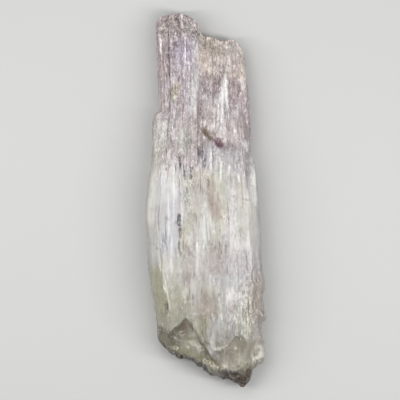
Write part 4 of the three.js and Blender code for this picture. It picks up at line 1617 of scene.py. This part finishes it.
    def paint(self, ground: Ground) -> Array:
        """Lays every zone over what is there, by its weight at each point, and adds the laths' tones.

        Args:
            ground: What lies under the colours.

        Returns:
            Red, green, blue, clearness and roughness for each point.
        """
        channels = self.base(ground.shifted)
        for zone, weight in self.layers(ground):
            channels = mix(channels, zone.value.channels(), weight[..., None])
        return self.tone(channels, ground)

    def tone(self, channels: Array, ground: Ground) -> Array:
        """Gives each lath its own brightness and clearness, darkens the lower block a little, paints shade
        deep between the laths and light onto the sides, and makes them clearer towards the back.

        Args:
            channels: The five channels.
            ground: What lies under the colours.

        Returns:
            The five channels.
        """
        fine, skin, around, y, z = ground.form.fine, ground.skin, ground.around, ground.y, ground.z
        lively = mix(0.22 + 0.4 * (1.0 - ground.front), 0.85, rise(4.0, 34.0, y)) + 0.3 * rise(*TIP_END, y)
        lively = np.maximum(lively, 0.8 * fine.splintered(around, y)) * (1.0 - 0.9 * skin.calm)
        broad = 0.1 * (fine.broad.own(around, y, 9) - 0.5) * (1.0 - skin.calm)
        tone = 0.14 * (fine.coarse.own(around, y, 9) - 0.5) + 0.2 * (fine.slim.own(around, y, 9) - 0.5)
        streak = 0.2 * (noise(around / 0.8, y / 4.0, 55.0 + z / 6.0) - 0.5)
        dash = 0.3 * (noise(around / 0.8, y / 1.6, 77.0 + z / 2.0) - 0.5)
        # painted light: the sides are lightened in the colour
        pale = 0.17 * between(0.2, 0.5, 0.84, 0.97, skin.up)
        # painted shade where the relief lies deep between the laths; the lower block is darker as well
        shade = 0.12 * rise(1.0, 2.4, skin.depth) + along(self.shade, y)
        bright = np.exp(broad + pale + lively * (tone + streak + dash) - shade)
        colour = np.clip(channels[..., :3] * bright[..., None], 0.0, 0.96)
        clear = np.clip(channels[..., 3] - 0.5 * tone + 0.2 * fall(0.3, 0.8, skin.up), 0.0, 0.9)
        return np.concatenate([colour, clear[..., None], channels[..., 4:]], axis=-1)

    @staticmethod
    def sparkle(ground: Ground) -> Array:
        """How strongly the fine facets and grain show: most in the upper block, least on the calm skin.

        Args:
            ground: What lies under the colours.

        Returns:
            The strength at each point.
        """
        x, y = ground.x, ground.y
        grainy = rise(0.45, 0.65, clouds(x, y, 0.0, 7.0, 9.0, 81.0))
        ends = 0.7 * rise(*TIP_END, y) + 0.5 * fall(-92.0, -84.0, y)
        crust = 0.35 * rise(-4.0, 0.0, x) * between(64.0, 70.0, *TIP_END, y)
        splintered = 0.35 * FineRelief.splintered(x, y)
        general = mix(0.22 + 0.4 * grainy + 0.3 * (1.0 - ground.front), 0.78, rise(0.0, 30.0, y))
        return (general + ends + crust + splintered) * (1.0 - 0.7 * ground.skin.calm)


# ---- Materials ----------------------------------------------------------------------------------


def add_node(
    tree: bpy.types.NodeTree, kind: str, settings: dict[str, Any], inputs: dict[Any, Any]
) -> bpy.types.Node:
    """Adds a node to a tree.

    Args:
        tree: The node tree.
        kind: The node's type name.
        settings: Values of the node's own properties.
        inputs: For each input, by name or number, the value it takes or the output that it is linked to.

    Returns:
        The node.
    """
    node = tree.nodes.new(kind)
    for name, value in settings.items():
        setattr(node, name, value)
    for name, value in inputs.items():
        if isinstance(value, bpy.types.NodeSocket):
            tree.links.new(value, node.inputs[name])
        else:
            node.inputs[name].default_value = value
    return node


def new_material(name: str) -> tuple[bpy.types.Material, bpy.types.NodeTree]:
    """Makes a material with an empty node tree.

    Args:
        name: The material's name.

    Returns:
        The material and its node tree.
    """
    material = bpy.data.materials.new(name)
    material.use_nodes = True
    material.node_tree.nodes.clear()
    return material, material.node_tree


@dataclass(frozen=True)
class MilkyKunzite:
    """Natural kunzite, spodumene with a little manganese, as grown, cleaved and etched.

    It is a clear, faintly lilac gem whose fine cleavage cracks and tubes turn it silky. Light that isn't
    scattered by them passes, bends and comes back from the far side, and its small cleavage facets, each
    tilted its own way, glint like glass.
    """

    name: str = "kunzite"
    ior: float = 1.66
    absorbed: tuple[float, float, float, float] = (0.7, 0.55, 0.62, 1.0)
    absorption: float = 28.0  # per metre
    facet: tuple[float, float, float] = (0.85, 2.1, 0.85)  # mm: the size of the small cleavage facets
    facet_tone: tuple[float, float, float] = (0.08, 0.12, 0.08)  # how a facet's direction lightens it
    tilt: float = 0.75  # how far a facet tilts the surface
    grain: tuple[float, float, float] = (0.6, 1.2, 0.6)  # mm
    grain_tone: float = 0.3
    grain_deep: float = 0.12  # mm
    # Real striae are finer than half a millimetre, and are drawn just coarse enough to show.
    striae: tuple[float, float, float] = (0.55, 7.0, 0.55)
    striae_tone: float = 0.28
    striae_deep: float = 0.1
    bump: float = 0.4

    def build(self) -> bpy.types.Material:
        """Makes the material. It reads the crystal's own colour, clearness, roughness and sparkle, and adds
        facets, grain and striae that are finer than the mesh.

        Returns:
            The material.
        """
        material, tree = new_material(self.name)
        sources = {"tint": "Color", "clearness": "Fac", "roughness": "Fac", "sparkle": "Fac"}
        tint, clear, rough, sparkle = (
            add_node(tree, "ShaderNodeAttribute", {"attribute_name": name}, {}).outputs[output]
            for name, output in sources.items()
        )
        facets = self.facets(tree)
        humps = {"Scale": 1.0, "Detail": 2.0, "Roughness": 0.6}
        grain, striae = (
            add_node(tree, "ShaderNodeTexNoise", {}, {**humps, "Vector": place}).outputs["Fac"]
            for place in (self.place(tree, self.grain), self.place(tree, self.striae))
        )
        shade = self.shade(tree, grain, striae, facets, sparkle)
        colour = add_node(tree, "ShaderNodeVectorMath", {"operation": "SCALE"}, {0: tint, "Scale": shade})
        veil = {"Value": grain, "From Min": 0.3, "From Max": 0.7, "To Min": 1.3, "To Max": 0.65}
        passing = add_node(
            tree, "ShaderNodeMath", {"operation": "MULTIPLY", "use_clamp": True},
            {0: clear, 1: add_node(tree, "ShaderNodeMapRange", {}, veil).outputs["Result"]},
        )
        surface = add_node(
            tree, "ShaderNodeBsdfPrincipled", {},
            {
                "Base Color": colour.outputs["Vector"],
                "Roughness": rough,
                "Transmission Weight": passing.outputs["Value"],
                "IOR": self.ior,
                "Normal": self.relief(tree, grain, striae, facets, sparkle),
            },
        )
        absorption = {"Color": self.absorbed, "Density": self.absorption}
        inside = add_node(tree, "ShaderNodeVolumeAbsorption", {}, absorption)
        outputs = {"Surface": surface.outputs["BSDF"], "Volume": inside.outputs["Volume"]}
        add_node(tree, "ShaderNodeOutputMaterial", {}, outputs)
        return material

    @staticmethod
    def place(tree: bpy.types.NodeTree, size: tuple[float, float, float]) -> bpy.types.NodeSocket:
        """Object coordinates, scaled so that one unit is a size in mm along each axis.

        Args:
            tree: The node tree.
            size: The size along X, Y and Z.

        Returns:
            The place, as a vector.
        """
        coordinates = add_node(tree, "ShaderNodeTexCoord", {}, {}).outputs["Object"]
        inputs = {"Vector": coordinates, "Scale": [1.0 / (width * MM) for width in size]}
        return add_node(tree, "ShaderNodeMapping", {}, inputs).outputs["Vector"]

    def facets(self, tree: bpy.types.NodeTree) -> bpy.types.NodeSocket:
        """A direction for each small facet: its cell's own colour less a half.

        Args:
            tree: The node tree.

        Returns:
            A vector whose parts run from -0.5 to 0.5.
        """
        inputs = {"Vector": self.place(tree, self.facet), "Scale": 1.0}
        cells = add_node(tree, "ShaderNodeTexVoronoi", {}, inputs).outputs["Color"]
        halves = {0: cells, 1: (0.5, 0.5, 0.5)}
        return add_node(tree, "ShaderNodeVectorMath", {"operation": "SUBTRACT"}, halves).outputs["Vector"]

    def shade(
        self,
        tree: bpy.types.NodeTree,
        grain: bpy.types.NodeSocket,
        striae: bpy.types.NodeSocket,
        facets: bpy.types.NodeSocket,
        sparkle: bpy.types.NodeSocket,
    ) -> bpy.types.NodeSocket:
        """Brightness of the grain, the striae and each facet: 1 plus the sparkle's share of their sum.

        Args:
            tree: The node tree.
            grain: The grain's noise.
            striae: The striae's noise.
            facets: Each facet's direction.
            sparkle: How strongly they show.

        Returns:
            The factor for the colour.
        """
        parts = [
            add_node(
                tree, "ShaderNodeMapRange", {"clamp": False},
                {"Value": field, "From Min": 0.25, "From Max": 0.75, "To Min": -reach, "To Max": reach},
            ).outputs["Result"]
            for field, reach in ((grain, self.grain_tone), (striae, self.striae_tone))
        ]
        own = {0: facets, 1: self.facet_tone}
        total = add_node(tree, "ShaderNodeVectorMath", {"operation": "DOT_PRODUCT"}, own).outputs["Value"]
        for part in parts:
            sum_of = {0: total, 1: part}
            total = add_node(tree, "ShaderNodeMath", {"operation": "ADD"}, sum_of).outputs["Value"]
        share = {0: total, 1: sparkle, 2: 1.0}
        return add_node(tree, "ShaderNodeMath", {"operation": "MULTIPLY_ADD"}, share).outputs["Value"]

    def relief(
        self,
        tree: bpy.types.NodeTree,
        grain: bpy.types.NodeSocket,
        striae: bpy.types.NodeSocket,
        facets: bpy.types.NodeSocket,
        sparkle: bpy.types.NodeSocket,
    ) -> bpy.types.NodeSocket:
        """The normal: each facet tilts it its own way, and striae and grain roughen it.

        Args:
            tree: The node tree.
            grain: The grain's noise.
            striae: The striae's noise.
            facets: Each facet's direction.
            sparkle: How strongly the facets show.

        Returns:
            The normal.
        """
        reach = add_node(tree, "ShaderNodeMath", {"operation": "MULTIPLY"}, {0: sparkle, 1: self.tilt})
        leaning = {0: facets, "Scale": reach.outputs["Value"]}
        lean = add_node(tree, "ShaderNodeVectorMath", {"operation": "SCALE"}, leaning).outputs["Vector"]
        outward = add_node(tree, "ShaderNodeNewGeometry", {}, {}).outputs["Normal"]
        tilted = add_node(tree, "ShaderNodeVectorMath", {"operation": "ADD"}, {0: outward, 1: lean})
        unit = add_node(
            tree, "ShaderNodeVectorMath", {"operation": "NORMALIZE"}, {0: tilted.outputs["Vector"]}
        )
        normal = unit.outputs["Vector"]
        for height, deep in ((striae, self.striae_deep), (grain, self.grain_deep)):
            bump = {"Strength": self.bump, "Distance": deep * MM, "Height": height, "Normal": normal}
            normal = add_node(tree, "ShaderNodeBump", {}, bump).outputs["Normal"]
        return normal


@dataclass(frozen=True)
class StudioPaper:
    """Matt seamless paper: plain, pale and without gloss, so that it lends the crystal only its light."""

    name: str = "studio_paper"
    colour: str = "#bebebc"
    rough: float = 0.9

    def build(self) -> bpy.types.Material:
        """Makes the material.

        Returns:
            The material.
        """
        material, tree = new_material(self.name)
        inputs = {"Base Color": (*linear(self.colour), 1.0), "Roughness": self.rough}
        surface = add_node(tree, "ShaderNodeBsdfPrincipled", {}, inputs)
        add_node(tree, "ShaderNodeOutputMaterial", {}, {"Surface": surface.outputs["BSDF"]})
        return material


# ---- Crystal and studio -------------------------------------------------------------------------


@dataclass(frozen=True)
class KunziteCrystal:
    """The crystal as one piece: its form, its colour zones and its finish."""

    form: CrystalForm = CrystalForm()
    zones: ColourZones = ColourZones()
    finish: MilkyKunzite = MilkyKunzite()
    name: str = "kunzite"
    node: str = "kunzite_crystal"
    body: str = "root"
    material_slot: str = "kunzite"

    def build(self) -> bpy.types.Object:
        """Makes the crystal's mesh, colours it and puts it on its body.

        Returns:
            The crystal.
        """
        outline, section = self.form.outline, self.form.section
        columns = Columns.lay_out(section)
        skin = self.form.skin(columns)
        is_back = np.isin(columns.side, section.back_sides)
        order = np.argsort([section.back_sides.index(side) for side in columns.side[is_back]], kind="stable")
        back = np.flatnonzero(is_back)[order]
        front = np.flatnonzero(~is_back)[::-1]
        base = self.form.cap(skin.points[0], outline.base, 1.0, front, back)[::-1]
        tip = self.form.cap(skin.points[-1], outline.tip, -1.0, front, back)
        skin = skin.with_ends(base, tip)
        mesh = ClosedMesh(skin.points).build(self.name, front, back)
        self.colour(mesh, skin)
        piece = bpy.data.objects.new(self.name, mesh)
        bpy.context.scene.collection.objects.link(piece)
        mesh.materials.append(self.finish.build())
        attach(piece, self.body)
        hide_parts(self.node)
        return piece

    def colour(self, mesh: bpy.types.Mesh, skin: Skin) -> None:
        """Stores the colour, clearness, roughness and sparkle of every vertex.

        Args:
            mesh: The crystal's mesh.
            skin: The whole skin, whose points are the mesh's vertices.
        """
        ground = Ground.under(self.form, skin, self.zones.fringe)
        painted = self.zones.paint(ground).reshape(-1, 5).astype(np.float32)
        sparkle = self.zones.sparkle(ground).ravel().astype(np.float32)
        tint = mesh.attributes.new("tint", "FLOAT_COLOR", "POINT")
        tint.data.foreach_set("color", np.insert(painted[:, :3], 3, 1.0, axis=1).ravel())
        plain = {"clearness": painted[:, 3].copy(), "roughness": painted[:, 4].copy(), "sparkle": sparkle}
        for name, values in plain.items():
            mesh.attributes.new(name, "FLOAT", "POINT").data.foreach_set("value", values)


@dataclass(frozen=True)
class Softbox:
    """A rectangular lamp: its place, size and aim in metres, and its power in watts."""

    name: str
    place: tuple[float, float, float]
    size: tuple[float, float]
    power: float
    colour: str = "#ffffff"
    aim: tuple[float, float, float] = (0.0, 0.0, 0.015)

    def build(self) -> bpy.types.Object:
        """Hangs the lamp.

        Returns:
            The lamp.
        """
        lamp = bpy.data.lights.new(self.name, "AREA")
        lamp.shape = "RECTANGLE"
        lamp.size, lamp.size_y = self.size
        lamp.energy = self.power
        lamp.color = linear(self.colour)
        hung = bpy.data.objects.new(self.name, lamp)
        hung.location = self.place
        hung.rotation_euler = (Vector(self.aim) - Vector(self.place)).to_track_quat("-Z", "Y").to_euler()
        bpy.context.scene.collection.objects.link(hung)
        return hung


@dataclass(frozen=True)
class Studio:
    """A pale paper floor, soft lamps, and a camera that looks straight down on the crystal's front, placed
    in metres."""

    paper: StudioPaper = StudioPaper()
    lamps: tuple[Softbox, ...] = (
        Softbox("key", (-0.16, 0.3, 0.72), (0.4, 0.3), 1.45),
        Softbox("left_strip", (-0.3, 0.0, 0.5), (0.05, 0.5), 1.25),
        Softbox("right_strip", (0.28, -0.05, 0.5), (0.05, 0.5), 1.6),
    )
    floor_half: float = 1.5
    floor_gap: float = 0.0002
    ambient: float = 0.507
    view_width: float = 0.224  # across the plane of the crystal's outline
    view_plane: float = 0.015
    view_distance: float = 1.8
    view_middle: tuple[float, float] = (-0.00294, 0.00014)
    sensor: float = 36.0

    def build(self) -> None:
        """Sets up the floor, the lamps, the soft light all round and the camera."""
        self.floor()
        for lamp in self.lamps:
            lamp.build()
        self.surroundings()
        self.camera()
        bpy.context.scene.view_settings.view_transform = "Standard"

    def floor(self) -> None:
        """Lays the floor just below the crystal, whose back would otherwise flicker with it."""
        half = self.floor_half
        mesh = bpy.data.meshes.new("floor")
        across = ((-half, -half), (half, -half), (half, half), (-half, half))
        corners = [(x, y, -self.floor_gap) for x, y in across]
        mesh.from_pydata(corners, [], [(0, 1, 2, 3)])
        mesh.materials.append(self.paper.build())
        floor = bpy.data.objects.new("floor", mesh)
        bpy.context.scene.collection.objects.link(floor)

    def surroundings(self) -> None:
        """Makes the soft light that comes from all round."""
        world = bpy.data.worlds.new("room")
        world.use_nodes = True
        background = world.node_tree.nodes["Background"]
        background.inputs["Color"].default_value = (1.0, 1.0, 1.0, 1.0)
        background.inputs["Strength"].default_value = self.ambient
        bpy.context.scene.world = world

    def camera(self) -> None:
        """Sets the camera above the crystal, with the tip at the top of the picture."""
        lens = bpy.data.cameras.new("camera")
        lens.sensor_width = self.sensor
        lens.lens = self.sensor * self.view_distance / self.view_width
        camera = bpy.data.objects.new("camera", lens)
        camera.location = (*self.view_middle, self.view_plane + self.view_distance)
        bpy.context.scene.collection.objects.link(camera)
        bpy.context.scene.camera = camera


def main() -> None:
    """Builds the crystal and the studio, and reports each piece."""
    logging.basicConfig(level=logging.INFO, format="%(name)s: %(message)s")
    crystal = KunziteCrystal().build()
    triangles = sum(len(face.vertices) - 2 for face in crystal.data.polygons)
    log.info("%s: %d triangles, %s", crystal.name, triangles, crystal.data.materials[0].name)
    Studio().build()


if __name__ == "__main__":
    main()
